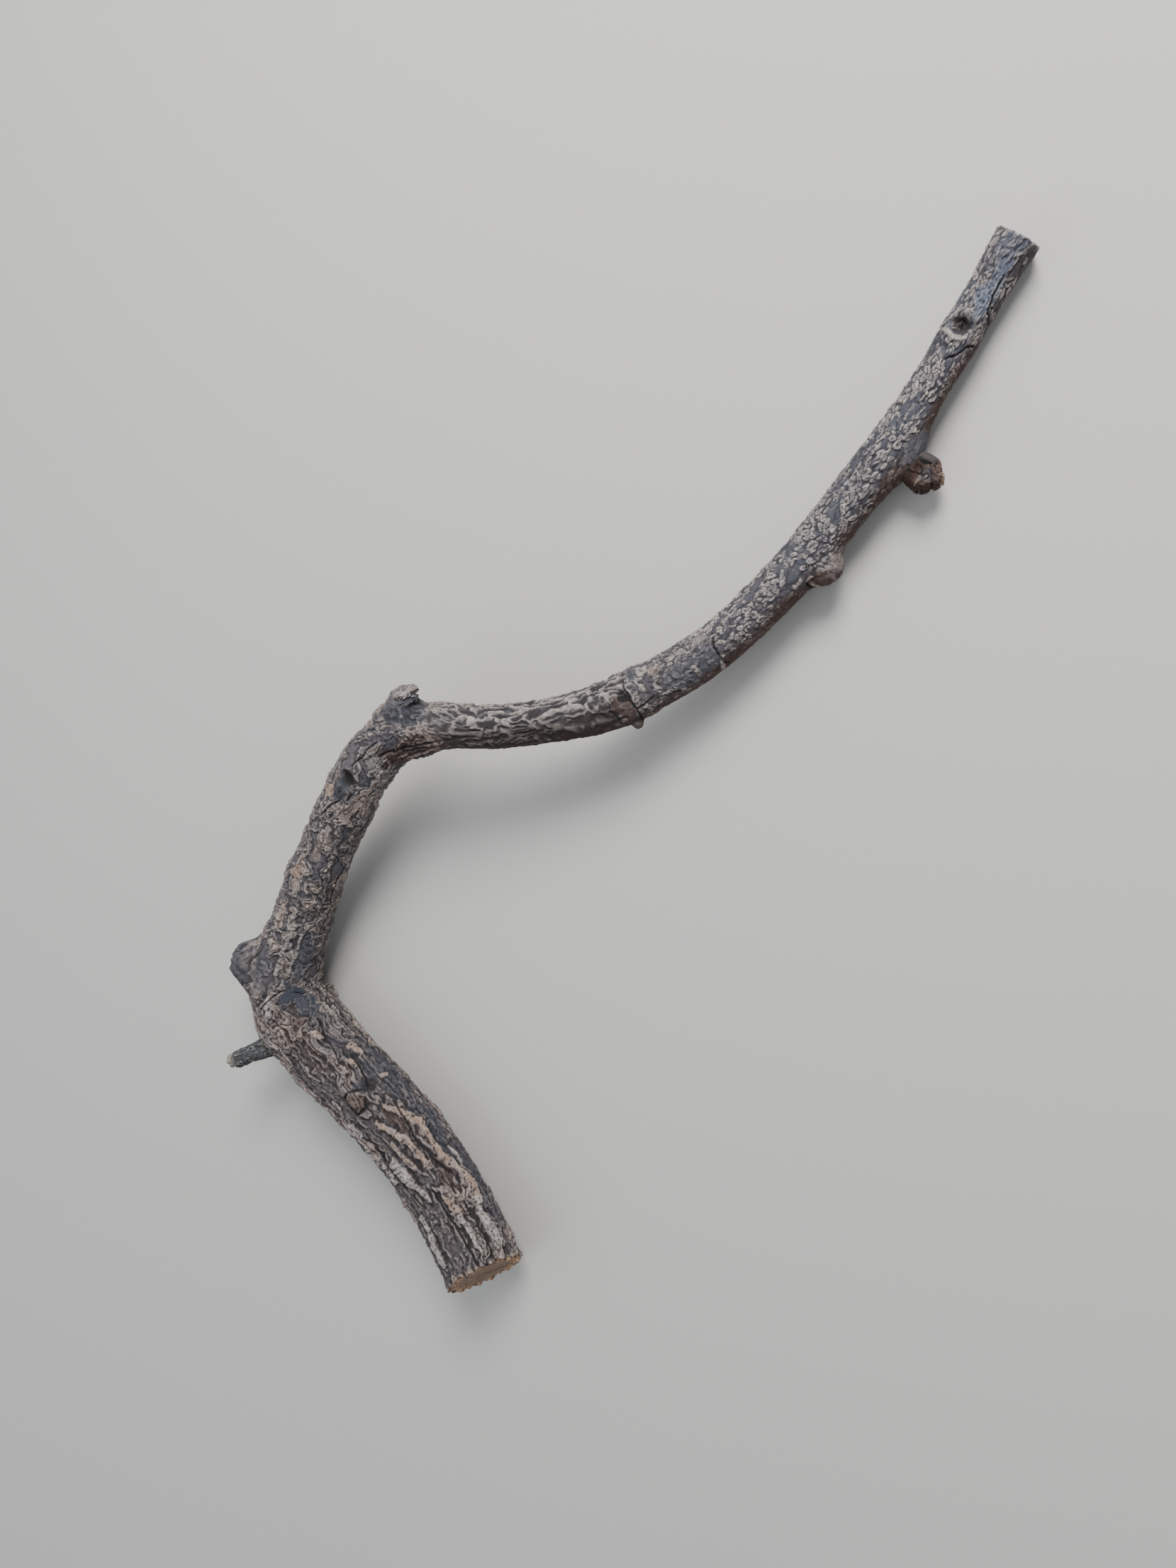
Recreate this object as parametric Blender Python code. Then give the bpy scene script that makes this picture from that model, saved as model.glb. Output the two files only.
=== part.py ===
"""A crooked dead branch, sawn off at both ends, lying on a flat surface.

It grew in one run of wood with two sharp bends, where an old leader died and
a side shoot took over. It is parted there into three limbs, with a short dead
twig and a snapped-off side branch let into sockets in the bark.
Metres, +Z up. The origin is under the middle of its footprint.
"""

from collections import namedtuple
import math

import bmesh
import bpy
import numpy as np
from mathutils import Vector

MM = 0.001

# Stations along the pith, from the sawn butt to the sawn tip, in mm.
# Each is x, y, height of the pith over the floor, and thickness over the bark.
BUTT_STATIONS = [
    (9, -7, 35, 51), (-17, 36, 28, 51), (-43, 74, 27, 52),
    (-79, 110, 28, 53), (-113, 140, 28, 53), (-139, 171, 26, 51),
]
MIDDLE_STATIONS = [
    (-133, 202, 28, 44), (-115, 231, 31, 40), (-98, 258, 36, 38), (-78, 283, 41, 35),
    (-56, 309, 48, 35), (-30, 336, 54, 34), (-4, 352, 57, 31),
]
UPPER_STATIONS = [
    (25, 355, 56, 27), (55, 353, 50, 24.5), (93, 356, 43, 25), (121, 362, 36, 28),
    (148, 373, 30, 27), (176, 388, 25, 25.5), (203, 409, 21, 25), (229, 433, 18, 25),
    (251, 457, 16, 24.5), (272, 480, 15, 24.5), (292, 508, 14, 19.5), (306, 528, 12.5, 20),
    (320, 549, 11, 19), (334, 569, 11, 22),
]
# The stations are measured from the foot, the frame from the footprint's middle
FOOTPRINT_MIDDLE = (82.3, 280.8)
FLOOR = 0.0

# Distances along the pith: the middle of the sawn butt, and where the limbs part
BUTT_CUT = 12.5
LOWER_ELBOW = 246.0
UPPER_ELBOW = 494.0
JOINT_GAP = 0.3

# The saw went through the butt at a slant, further back on top
SAW_SLANT = math.radians(22)
SLANT_FADE = 45.0

# Faceting: sides round each limb, and the spacing of its rings
BUTT_SIDES, BUTT_RING = 38, 7.0
MIDDLE_SIDES, MIDDLE_RING = 32, 7.0
UPPER_SIDES, UPPER_RING = 24, 7.0

# A lump on the bark, or a hollow where its height is below zero.
# at and clock place it: distance along the pith, and degrees from the top,
# growing to the right of someone who walks from the butt to the tip.
# along and around are its half widths, and edge is 2 for a round lump and
# more for one with steep sides.
Lump = namedtuple("Lump", "at clock along around height edge")

LUMPS = [
    # dead knot and its dark hollow on the butt limb
    Lump(145, 27, 7, 7, 2.6, 2),
    Lump(156, 40, 5, 6, -2.6, 2),
    # swollen bark over the twig's root, and the overhang beside it
    Lump(218, -52, 13, 12, 4.5, 3),
    # stub of the old leader, outside the lower elbow
    Lump(256, -62, 13, 13, 15, 3),
    Lump(250, -20, 11, 9, 2.2, 2),
    # hollow knot on the middle limb, with its rim
    Lump(428, 6, 11, 10, 2.4, 3),
    Lump(428, 6, 5, 5, -3.8, 3),
    # torn stub outside the upper elbow, hooked over at its end
    Lump(482, -66, 8, 9, 11, 4),
    Lump(469, -60, 10, 9, 5, 2),
    # fold of bark in the crotch of the upper elbow
    Lump(480, 100, 12, 9, 3.5, 2),
    # bark ring and burst lip where an outer sheath ends on the upper limb
    Lump(616, 0, 4, 90, 0.9, 4),
    Lump(607, -95, 5, 60, 0.6, 4),
    Lump(606, 88, 4, 5, 3.2, 3),
    Lump(611, -22, 3.5, 3.5, -2.8, 3),
    # healed side shoot, low on the right of the upper limb
    Lump(732, 92, 9, 8, 7.5, 3),
    # collar that carries the snapped side branch
    Lump(796, 96, 13, 9, 3.0, 3),
    # knot hole near the tip, with a raised rim
    Lump(857, 6, 9, 8, 1.4, 3),
    Lump(859, 6, 4.5, 4.5, -5.0, 4),
]

# Old corky bark: long furrows round the limb, broken into plates across it.
# Depths are in mm, at the butt and at the tip
BUTT_FURROW, TIP_FURROW = 2.6, 0.7
BUTT_PLATE, TIP_PLATE = 1.5, 0.8
PLATE_LENGTH = 14.0

# The dead twig under the lower elbow: root and tip in mm, and its thickness
TWIG_ROOT = (-132, 141, 34)
TWIG_TIP = (-178, 127, 44)
TWIG_THICKNESS = 11.5
TWIG_SIDES = 14
TWIG_RINGS = 9
SOCKET_GAP = 0.3

# The snapped side branch: where it leaves the limb, where it ends, and how
# the break has split it into flat faces (normal, distance from its middle)
SNAG_ROOT = (280, 475, 14)
SNAG_END = (300, 459, 12)
SNAG_WIDTH = 19.0
SNAG_BREAKS = [
    ((0.80, -0.55, 0.25), 7.4),
    ((0.25, -0.90, 0.40), 6.2),
    ((0.85, 0.30, 0.45), 6.0),
    ((0.20, 0.15, 0.97), 5.6),
    ((0.30, -0.60, -0.74), 6.0),
    ((0.90, 0.05, -0.42), 7.0),
]

BARK_COLOUR = (0.17, 0.15, 0.135, 1.0)
DARK_BARK_COLOUR = (0.10, 0.09, 0.085, 1.0)
BROKEN_COLOUR = (0.13, 0.10, 0.08, 1.0)


def clear_scene():
    for thing in list(bpy.data.objects):
        bpy.data.objects.remove(thing, do_unlink=True)


def collection(name):
    group = bpy.data.collections.new(name)
    bpy.context.scene.collection.children.link(group)
    return group


def wood_material(name, colour, roughness):
    material = bpy.data.materials.new(name)
    material.use_nodes = True
    shader = material.node_tree.nodes["Principled BSDF"]
    shader.inputs["Base Color"].default_value = colour
    shader.inputs["Roughness"].default_value = roughness
    shader.inputs["Metallic"].default_value = 0.0
    return material


def add_object(name, bm, group, material):
    mesh = bpy.data.meshes.new(name)
    bm.to_mesh(mesh)
    bm.free()
    mesh.materials.append(material)
    thing = bpy.data.objects.new(name, mesh)
    group.objects.link(thing)
    return thing


# The pith: one smooth line through the stations

def smooth_line(stations, steps=24):
    """Points of a Catmull-Rom curve through the stations, thickness included."""
    points = np.array(stations, float)
    before = 2 * points[0] - points[1]
    after = 2 * points[-1] - points[-2]
    points = np.vstack([before, points, after])
    u = np.linspace(0, 1, steps, endpoint=False)[:, None]
    runs = []
    for a, b, c, d in zip(points, points[1:], points[2:], points[3:]):
        bend = (c - a) * u + (2 * a - 5 * b + 4 * c - d) * u ** 2
        runs.append(b + 0.5 * (bend + (3 * b - a - 3 * c + d) * u ** 3))
    runs.append(points[-2:-1])
    return np.vstack(runs)


PITH = smooth_line(BUTT_STATIONS + MIDDLE_STATIONS + UPPER_STATIONS)
PITH_STEPS = np.linalg.norm(np.diff(PITH[:, :3], axis=0), axis=1)
PITH_DISTANCE = np.concatenate([[0.0], np.cumsum(PITH_STEPS)])
BRANCH_LENGTH = float(PITH_DISTANCE[-1])


def on_pith(distance):
    """Place and thickness of the branch at a distance along its pith."""
    values = [float(np.interp(distance, PITH_DISTANCE, PITH[:, k])) for k in range(4)]
    return Vector(values[:3]), values[3]


def directions(distance, reach=4.0):
    """Forward, up and right of the pith at a distance along it."""
    ahead, _ = on_pith(distance + reach)
    behind, _ = on_pith(distance - reach)
    forward = (ahead - behind).normalized()
    right = forward.cross(Vector((0, 0, 1))).normalized()
    return forward, right.cross(forward), right


# The bark: lumps and hollows, and rows of plates

def lump_height(distance, clock, thickness):
    total = 0.0
    for lump in LUMPS:
        turn = (clock - math.radians(lump.clock) + math.pi) % math.tau - math.pi
        off = math.hypot((distance - lump.at) / lump.along, turn * thickness / 2 / lump.around)
        if off < 3:
            total += lump.height * math.exp(-off ** lump.edge)
    return total


PLATE_ROWS = int(BRANCH_LENGTH / PLATE_LENGTH) + 3
PLATE_COLUMNS = 11
PLATE_FIELD = np.random.default_rng(11).uniform(-1, 1, (PLATE_ROWS, PLATE_COLUMNS))
FURROWS = 9


def plate_height(distance, clock):
    """Smooth random relief that closes on itself round the limb."""
    row = max(distance, 0.0) / PLATE_LENGTH
    wander = 0.5 * math.sin(distance / 31.0)
    column = (clock / math.tau * PLATE_COLUMNS + wander) % PLATE_COLUMNS
    r, c = int(row), int(column)
    u, v = row - r, column - c
    u, v = u * u * (3 - 2 * u), v * v * (3 - 2 * v)
    near, far = PLATE_FIELD[r], PLATE_FIELD[r + 1]
    c, d = c % PLATE_COLUMNS, (c + 1) % PLATE_COLUMNS
    return (1 - u) * ((1 - v) * near[c] + v * near[d]) + u * ((1 - v) * far[c] + v * far[d])


def furrow_height(distance, clock):
    """Rounded ridges between wandering furrows that run the length of the limb."""
    wander = 0.9 * math.sin(distance / 43.0) + 0.5 * math.sin(distance / 17.0 + 2 * math.sin(clock))
    return math.sqrt(abs(math.cos(FURROWS * clock / 2 + wander))) - 1


def bark_point(distance, clock):
    """A point of the bark, in mm from the foot."""
    middle, thickness = on_pith(distance)
    _, up, right = directions(distance)
    age = 1 - distance / BRANCH_LENGTH
    radius = thickness / 2 + lump_height(distance, clock, thickness)
    radius += (TIP_FURROW + (BUTT_FURROW - TIP_FURROW) * age) * (furrow_height(distance, clock) + 0.3)
    radius += (TIP_PLATE + (BUTT_PLATE - TIP_PLATE) * age) * plate_height(distance, clock)
    return middle + float(radius) * (math.cos(clock) * up + math.sin(clock) * right)


def in_frame(point):
    """From mm measured at the foot to metres in the part's frame."""
    x, y, z = point
    return Vector((x - FOOTPRINT_MIDDLE[0], y - FOOTPRINT_MIDDLE[1], z - FLOOR)) * MM


# The limbs

def ringed_cylinder(sides, rings):
    """A cylinder from z = 0 to 1 with flat ends and evenly spaced rings."""
    bm = bmesh.new()
    bmesh.ops.create_cone(bm, cap_ends=True, cap_tris=False, segments=sides, radius1=1, radius2=1, depth=1)
    lengthwise = [edge for edge in bm.edges if abs(edge.verts[0].co.z - edge.verts[1].co.z) > 0.5]
    bmesh.ops.subdivide_edges(bm, edges=lengthwise, cuts=rings - 1, use_grid_fill=True)
    bmesh.ops.translate(bm, verts=bm.verts, vec=(0, 0, 0.5))
    return bm


def slant_cut(distance, clock):
    """How far the slanting saw cut moves the rings behind it."""
    fade = max(0.0, 1 - (distance - BUTT_CUT) / SLANT_FADE)
    return fade * math.tan(SAW_SLANT) * on_pith(distance)[1] / 2 * math.cos(clock)


def limb(name, start, end, sides, ring, group, material):
    bm = ringed_cylinder(sides, round((end - start) / ring))
    for vertex in bm.verts:
        clock = math.atan2(vertex.co.y, vertex.co.x)
        distance = start + vertex.co.z * (end - start)
        vertex.co = in_frame(bark_point(distance + slant_cut(distance, clock), clock))
    return add_object(name, bm, group, material)


# The dead twig, a tapered stick with a blunt broken end

def twig_mesh(swell):
    root, tip = Vector(TWIG_ROOT), Vector(TWIG_TIP)
    forward = (tip - root).normalized()
    turn = forward.to_track_quat("Z", "Y")
    length = (tip - root).length
    knots = np.random.default_rng(5).uniform(-0.4, 0.4, (TWIG_RINGS + 1, 5))
    bm = ringed_cylinder(TWIG_SIDES, TWIG_RINGS)
    for vertex in bm.verts:
        along = vertex.co.z
        clock = math.atan2(vertex.co.y, vertex.co.x)
        bump = knots[round(along * TWIG_RINGS)]
        radius = TWIG_THICKNESS / 2 * (1.06 - 0.10 * along) + swell
        radius += float(bump[0] * math.cos(3 * clock + bump[1]) + 0.4 * bump[2] * math.cos(5 * clock))
        bow = 1.6 * math.sin(math.pi * along)
        ragged = 1.5 * math.cos(clock - 0.8) if along > 0.99 else 0.0
        reach = along * (length + swell) - swell * (1 - along) + ragged
        local = Vector((radius * math.cos(clock), radius * math.sin(clock) + bow, reach))
        vertex.co = in_frame(root + turn @ local)
    return bm


# The snapped side branch, a stub whose end broke along flat faces

def snag_mesh(swell):
    root, end = Vector(SNAG_ROOT), Vector(SNAG_END)
    forward = (end - root).normalized()
    turn = forward.to_track_quat("Z", "Y")
    length = (end - root).length
    middle = root + forward * length * 0.52
    bm = bmesh.new()
    bmesh.ops.create_icosphere(bm, subdivisions=3, radius=1)
    for vertex in bm.verts:
        half = Vector((SNAG_WIDTH / 2, SNAG_WIDTH / 2 * 0.86, length / 2 + 4))
        local = Vector(vertex.co[k] * half[k] for k in range(3))
        for _ in range(2):
            for normal, depth in SNAG_BREAKS:
                normal = turn.inverted() @ Vector(normal).normalized()
                beyond = local.dot(normal) - depth
                if beyond > 0:
                    local -= beyond * normal
        local += vertex.co.normalized() * swell
        vertex.co = in_frame(middle + turn @ local)
    return bm


def socket(limb_object, cutter):
    """Cut a close-fitting socket for a piece that grows out of the limb."""
    cutter.hide_render = True
    cutter.display_type = "WIRE"
    cut = limb_object.modifiers.new("socket", "BOOLEAN")
    cut.operation = "DIFFERENCE"
    cut.object = cutter


clear_scene()
branch = collection("fallen_branch")
cutters = collection("cutters")
bark = wood_material("bark", BARK_COLOUR, 0.9)
dark_bark = wood_material("dark_bark", DARK_BARK_COLOUR, 0.85)
broken_wood = wood_material("broken_wood", BROKEN_COLOUR, 0.88)

half_gap = JOINT_GAP / 2
butt_limb = limb("butt_limb", BUTT_CUT, LOWER_ELBOW - half_gap, BUTT_SIDES, BUTT_RING, branch, dark_bark)
limb("middle_limb", LOWER_ELBOW + half_gap, UPPER_ELBOW - half_gap, MIDDLE_SIDES, MIDDLE_RING, branch, bark)
upper_limb = limb("upper_limb", UPPER_ELBOW + half_gap, BRANCH_LENGTH, UPPER_SIDES, UPPER_RING, branch, bark)

add_object("side_twig", twig_mesh(0.0), branch, dark_bark)
socket(butt_limb, add_object("side_twig_socket", twig_mesh(SOCKET_GAP), cutters, dark_bark))

add_object("snapped_side_branch", snag_mesh(0.0), branch, broken_wood)
socket(upper_limb, add_object("snag_socket", snag_mesh(SOCKET_GAP), cutters, broken_wood))
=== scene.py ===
"""Looks of a crooked dead branch, sawn off at both ends and laid on a flat surface.

Every piece is grown round the pith of the branch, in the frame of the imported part.
"""
from collections import namedtuple
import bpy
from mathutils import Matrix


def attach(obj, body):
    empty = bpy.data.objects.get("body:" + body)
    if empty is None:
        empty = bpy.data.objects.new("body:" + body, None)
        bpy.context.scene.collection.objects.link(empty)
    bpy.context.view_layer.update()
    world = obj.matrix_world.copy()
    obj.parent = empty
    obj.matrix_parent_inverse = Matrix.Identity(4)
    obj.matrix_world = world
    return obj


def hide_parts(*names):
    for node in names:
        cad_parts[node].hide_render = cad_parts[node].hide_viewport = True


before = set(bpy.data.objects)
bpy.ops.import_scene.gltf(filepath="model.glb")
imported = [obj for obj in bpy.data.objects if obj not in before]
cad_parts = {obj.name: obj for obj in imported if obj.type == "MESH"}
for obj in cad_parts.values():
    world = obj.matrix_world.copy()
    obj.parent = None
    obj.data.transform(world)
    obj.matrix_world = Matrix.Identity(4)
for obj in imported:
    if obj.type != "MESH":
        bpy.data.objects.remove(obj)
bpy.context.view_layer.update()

from types import SimpleNamespace
import math

import bmesh
import bpy
import numpy as np
from mathutils import Matrix, Vector

# Butt limb
# The thick foot of the branch: wood under old corky bark, which has split into long
# furrowed ridges as the limb grew and is worn to orange cork on the crests.
# It was sawn off at a slant, and the wood shows on the cut.

MM = 0.001
# Stations along the pith of the whole branch, in mm from the foot: x, y, height, thickness
STATIONS = [
    (9, -7, 35, 51), (-17, 36, 28, 51), (-43, 74, 27, 52),
    (-79, 110, 28, 53), (-113, 140, 28, 53), (-139, 171, 26, 51),
    (-133, 202, 28, 44), (-115, 231, 31, 40), (-98, 258, 36, 38), (-78, 283, 41, 35),
    (-56, 309, 48, 35), (-30, 336, 54, 34), (-4, 352, 57, 31),
    (25, 355, 56, 27), (55, 353, 50, 24.5), (93, 356, 43, 25), (121, 362, 36, 28),
    (148, 373, 30, 27), (176, 388, 25, 25.5), (203, 409, 21, 25), (229, 433, 18, 25),
    (251, 457, 16, 24.5), (272, 480, 15, 24.5), (292, 508, 14, 19.5), (306, 528, 12.5, 20),
    (320, 549, 11, 19), (334, 569, 11, 22),
]
FOOTPRINT_MIDDLE = np.array((82.3, 280.8, 0.0))
# Distances along the pith: the middle of the sawn foot, and where the limbs part
BUTT_CUT = 10.5
LOWER_ELBOW = 246.0
UPPER_ELBOW = 494.0
# How much one limb's skin reaches into the next, and the least height over the surface
OVERLAP = 1.5
CLEARANCE = 0.05
# The saw's slant, the clock direction it leans to, and how far up the bark leans with it
SAW_SLANT = math.radians(13.5)
SAW_TURN = math.radians(32)
SLANT_FADE = 45.0


def smooth_line(stations, steps=24):
    """Points of a Catmull-Rom curve through the stations, thickness included."""
    points = np.array(stations, float)
    points = np.vstack([2 * points[0] - points[1], points, 2 * points[-1] - points[-2]])
    u = np.linspace(0, 1, steps, endpoint=False)[:, None]
    runs = []
    for a, b, c, d in zip(points, points[1:], points[2:], points[3:]):
        bend = (c - a) * u + (2 * a - 5 * b + 4 * c - d) * u ** 2
        runs.append(b + 0.5 * (bend + (3 * b - a - 3 * c + d) * u ** 3))
    return np.vstack(runs + [points[-2:-1]])


PITH = smooth_line(STATIONS)
PITH_DISTANCE = np.r_[0, np.cumsum(np.linalg.norm(np.diff(PITH[:, :3], axis=0), axis=1))]
BRANCH_LENGTH = float(PITH_DISTANCE[-1])


def on_pith(distance):
    """Place and thickness of the branch at distances along its pith, in mm."""
    return np.stack([np.interp(distance, PITH_DISTANCE, PITH[:, k]) for k in range(4)], -1)


def square_to(forward):
    """The up and the right of a direction."""
    right = np.cross(forward, (0, 0, 1))
    right /= np.linalg.norm(right, axis=-1, keepdims=True)
    return np.cross(right, forward), right


def directions(distance, reach=4.0):
    """Forward, up and right of the pith at distances along it."""
    forward = (on_pith(distance + reach) - on_pith(distance - reach))[..., :3]
    forward /= np.linalg.norm(forward, axis=-1, keepdims=True)
    return forward, *square_to(forward)


def share(value, start, end):
    """From 0 at start to 1 at end, eased at both."""
    t = np.clip((value - start) / (end - start), 0, 1)
    return t * t * (3 - 2 * t)


def scramble(row, column, seed):
    """A repeatable number from 0 to 1 for each row and column."""
    mixed = (row * 374761393 + column * 668265263 + seed * 974634777) & 0xFFFFFFFF
    mixed = ((mixed ^ (mixed >> 13)) * 1274126177) & 0xFFFFFFFF
    return ((mixed ^ (mixed >> 16)) & 0xFFFF) / 65535.0


def swell(along, turn, columns, seed):
    """Smooth random heights from -1 to 1 that meet again after a full turn."""
    along, around = np.broadcast_arrays(along, turn * columns)
    row, column = np.floor(along).astype(int), np.floor(around).astype(int)
    u, v = share(along - row, 0, 1), share(around - column, 0, 1)

    def corner(i, j):
        return scramble(row + i, (column + j) % columns, seed)

    near = corner(0, 0) * (1 - v) + corner(0, 1) * v
    far = corner(1, 0) * (1 - v) + corner(1, 1) * v
    return 2 * (near * (1 - u) + far * u) - 1


def swells(along, turn, *waves):
    """Random swells added up. Each wave has a height, length, number round the limb and seed."""
    return sum(height * swell(along / length, turn, columns, seed)
               for height, length, columns, seed in waves)


def cells(along, turn, columns, seed, scatter):
    """Cells scattered over the bark, and where each place lies in its cell.

    The distance to the nearest middle, how much further the next one is, a random slope
    of the cell from -1 to 1 over it, and the cell's own number from 0 to 1.
    """
    along, around = np.broadcast_arrays(along, turn * columns)
    row, column = np.floor(along).astype(int), np.floor(around).astype(int)
    nearest = np.full(along.shape, 9.0)
    second = np.full(along.shape, 9.0)
    tilt = np.zeros(along.shape)
    number = np.zeros(along.shape)
    for i in (-1, 0, 1):
        for j in (-1, 0, 1):
            r, c = row + i, (column + j) % columns
            ahead = along - r - 0.5 - scatter * (2 * scramble(r, c, seed) - 1)
            aside = around - column - j - 0.5 - scatter * (2 * scramble(r, c, seed + 1) - 1)
            off = np.hypot(ahead, aside)
            closer = off < nearest
            second = np.where(closer, nearest, np.minimum(second, off))
            lean = math.tau * scramble(r, c, seed + 3)
            tilt = np.where(closer, ahead * np.cos(lean) + aside * np.sin(lean), tilt)
            number = np.where(closer, scramble(r, c, seed + 2), number)
            nearest = np.where(closer, off, nearest)
    return nearest, second - nearest, tilt, number


def beside_furrow(value, width):
    """0 in the bottom of the furrow where a value crosses zero, and 1 clear of it."""
    return share(np.abs(value), 0, width)


def blurred(grid, along, around):
    """The grid averaged over that many cells to each side, twice."""
    for _ in range(2):
        wide = np.pad(grid, ((along, along), (0, 0)), mode="edge")
        grid = sum(wide[k:k + len(grid)] for k in range(2 * along + 1)) / (2 * along + 1)
        grid = sum(np.roll(grid, k, 1) for k in range(-around, around + 1)) / (2 * around + 1)
    return grid


# What grows on the bark, placed by distance along the pith in mm and degrees from the
# top. A lump, or a hollow where its height is below zero: place, half widths and height
# in mm, and 2 for a round edge or more for a steep one
Lump = namedtuple("Lump", "at clock along around height edge")
# A worn crest: its line of places, half width, height, colour mask and strength
Crest = namedtuple("Crest", "line half_width height tone strength")
# A crack: its line, half width and depth
Crack = namedtuple("Crack", "line half_width depth")
# A patch of other bark: place, half widths, colour mask, how smooth, and strength
Patch = namedtuple("Patch", "at clock along around tone smooth strength")

lumps = [
    # dead knot and its dark hollow
    Lump(147, 26, 8, 9, 1.6, 2),
    Lump(145, 25, 5.0, 5.2, 2.4, 5),
    Lump(148, 52, 5, 6, -3.8, 3),
    Lump(158, 28, 7, 8, 1.4, 2),
    # swollen bark over the twig's root, and the overhang beside it
    Lump(218, -52, 13, 12, 4.5, 3),
    Lump(217, -69, 7.5, 8, -3.5, 3),
    # stub of the old leader, outside the lower elbow
    Lump(256, -62, 13, 13, 15, 3),
    Lump(250, -20, 11, 9, 2.2, 2),
]
crests = [
    Crest([(131, 48), (110, 69), (88, 69)], 2.7, 1.2, "tan", 1.0),
    Crest([(88, 69), (65, 84), (54, 80)], 3.1, 1.3, "tan", 1.0),
    Crest([(54, 80), (46, 75), (33, 75), (26, 84)], 2.9, 1.2, "pale", 1.0),
    Crest([(127, 24), (118, 27), (106, 40), (88, 44)], 2.6, 1.4, "tan", 0.9),
    Crest([(66, 40), (54, 48)], 2.4, 1.2, "tan", 0.9),
    Crest([(50, 46), (38, 47), (26, 52)], 2.2, 1.2, "pale", 0.9),
    Crest([(112, 18), (100, 22), (90, 26)], 1.8, 0.9, "tan", 0.6),
    Crest([(101, 2), (92, 4), (84, 6)], 3.8, 1.3, "pale", 1.0),
    Crest([(84, 6), (76, 14), (68, 20)], 2.4, 1.0, "pale", 0.8),
    Crest([(60, -10), (52, -8), (40, -13), (28, -12)], 2.8, 1.2, "pale", 0.9),
    Crest([(97, -18), (90, -20)], 2.6, 1.0, "pale", 0.9),
    Crest([(120, -25), (114, -24)], 3.0, 1.2, "pale", 1.0),
    Crest([(138, -14), (130, -12)], 3.0, 1.2, "pale", 0.8),
    Crest([(88, 86), (80, 88)], 2.0, 0.8, "pale", 0.8),
    Crest([(196, 45), (192, 50)], 2.6, 1.4, "tan", 1.0),
    Crest([(174, 68), (167, 74)], 2.6, 1.4, "tan", 1.0),
    Crest([(166, 53), (163, 56)], 1.8, 1.0, "tan", 0.8),
    Crest([(147, 74), (146, 82)], 1.6, 0.8, "tan", 0.8),
    Crest([(203, 28), (200, 24)], 2.0, 1.0, "tan", 0.7),
    Crest([(216, 12), (210, 18)], 1.8, 1.0, "tan", 0.7),
    Crest([(210, 36), (207, 40)], 3.0, 1.2, "brown", 1.0),
    Crest([(242, 8), (236, 10), (228, 6)], 3.4, 1.2, "pale", 0.9),
    Crest([(205, 84), (196, 86)], 1.8, 0.8, "pale", 0.6),
]
cracks = [
    # fold of bark that runs over the lower elbow
    Crack([(222, -27), (238, 2), (250, 30)], 1.0, 1.2),
    Crack([(248, 50), (240, 72), (224, 112)], 1.0, 1.2),
    # bark closing round the dead knot
    Crack([(140, 14), (139, 28), (143, 36)], 1.2, 1.2),
    Crack([(151, 12), (152, 26), (149, 38)], 1.2, 1.2),
    Crack([(148, 50), (158, 58), (168, 60)], 1.2, 1.2),
    # splits along the grain
    Crack([(126, 60), (108, 52), (92, 54), (76, 66)], 1.0, 1.0),
    Crack([(72, 30), (52, 33), (34, 36), (16, 42)], 1.1, 1.1),
    Crack([(58, 62), (42, 62), (26, 66), (15, 66)], 1.0, 1.0),
    Crack([(128, -2), (104, -12), (82, -8), (64, 4)], 1.1, 1.1),
    Crack([(200, 62), (182, 50), (170, 40)], 1.0, 1.0),
]
patches = [
    Patch(238, 46, 18, 9.5, "slate", 0.9, 1.0),
    Patch(216, 58, 13, 8, "slate", 0.6, 0.95),
    Patch(188, 58, 24, 9, "slate", -0.1, 0.6),
    Patch(196, 20, 24, 9, "brown", -0.1, 0.4),
    Patch(150, 84, 34, 11, "slate", -0.1, 0.75),
    Patch(106, 86, 22, 8, "slate", -0.1, 0.85),
    Patch(148, 51, 6.5, 8, "slate", 0.6, 0.9),
    # painted shade in the knot's hollow
    Patch(148, 51, 4.6, 6, "black", 0.3, 0.6),
    Patch(120, 46, 12, 4, "brown", 0.3, 0.6),
    Patch(80, 60, 14, 4, "brown", 0.3, 0.6),
    Patch(60, 100, 34, 8, "slate", -0.1, 0.7),
    Patch(255, -60, 12, 13, "slate", 0.2, 0.85),
    # painted shadow under the overhang beside the twig's root
    Patch(217, -69, 6.5, 7, "black", 0.4, 0.9),
    Patch(145, 25, 4.8, 5.0, "brown", 0.3, 0.9),
    Patch(144, 24, 3.4, 3.6, "tan", 0.0, 0.10),
]


def around_clock(clock, degrees):
    """How far round from a clock direction, from -pi to pi."""
    return (clock - math.radians(degrees) + math.pi) % math.tau - math.pi


def lump_height(bark, lump):
    off = np.hypot((bark.distance - lump.at) / lump.along,
                   around_clock(bark.clock, lump.clock) * bark.radius / lump.around)
    return lump.height * np.exp(-np.minimum(off, 4) ** lump.edge)


def off_line(bark, stray, line):
    """How far each place is in mm from a line on the bark, which strays as the bark does."""
    distance = bark.distance + stray * bark.stray
    clock = bark.clock + 0.5 * bark.drift / bark.radius
    nearest = np.full(distance.shape, 99.0)
    for (start, start_clock), (end, end_clock) in zip(line, line[1:]):
        forward = distance - start
        sideways = around_clock(clock, start_clock) * bark.radius
        run, rise = end - start, math.radians(end_clock - start_clock) * bark.radius
        along = np.clip((forward * run + sideways * rise) / (run ** 2 + rise ** 2), 0, 1)
        nearest = np.minimum(nearest, np.hypot(forward - along * run, sideways - along * rise))
    return nearest


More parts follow.
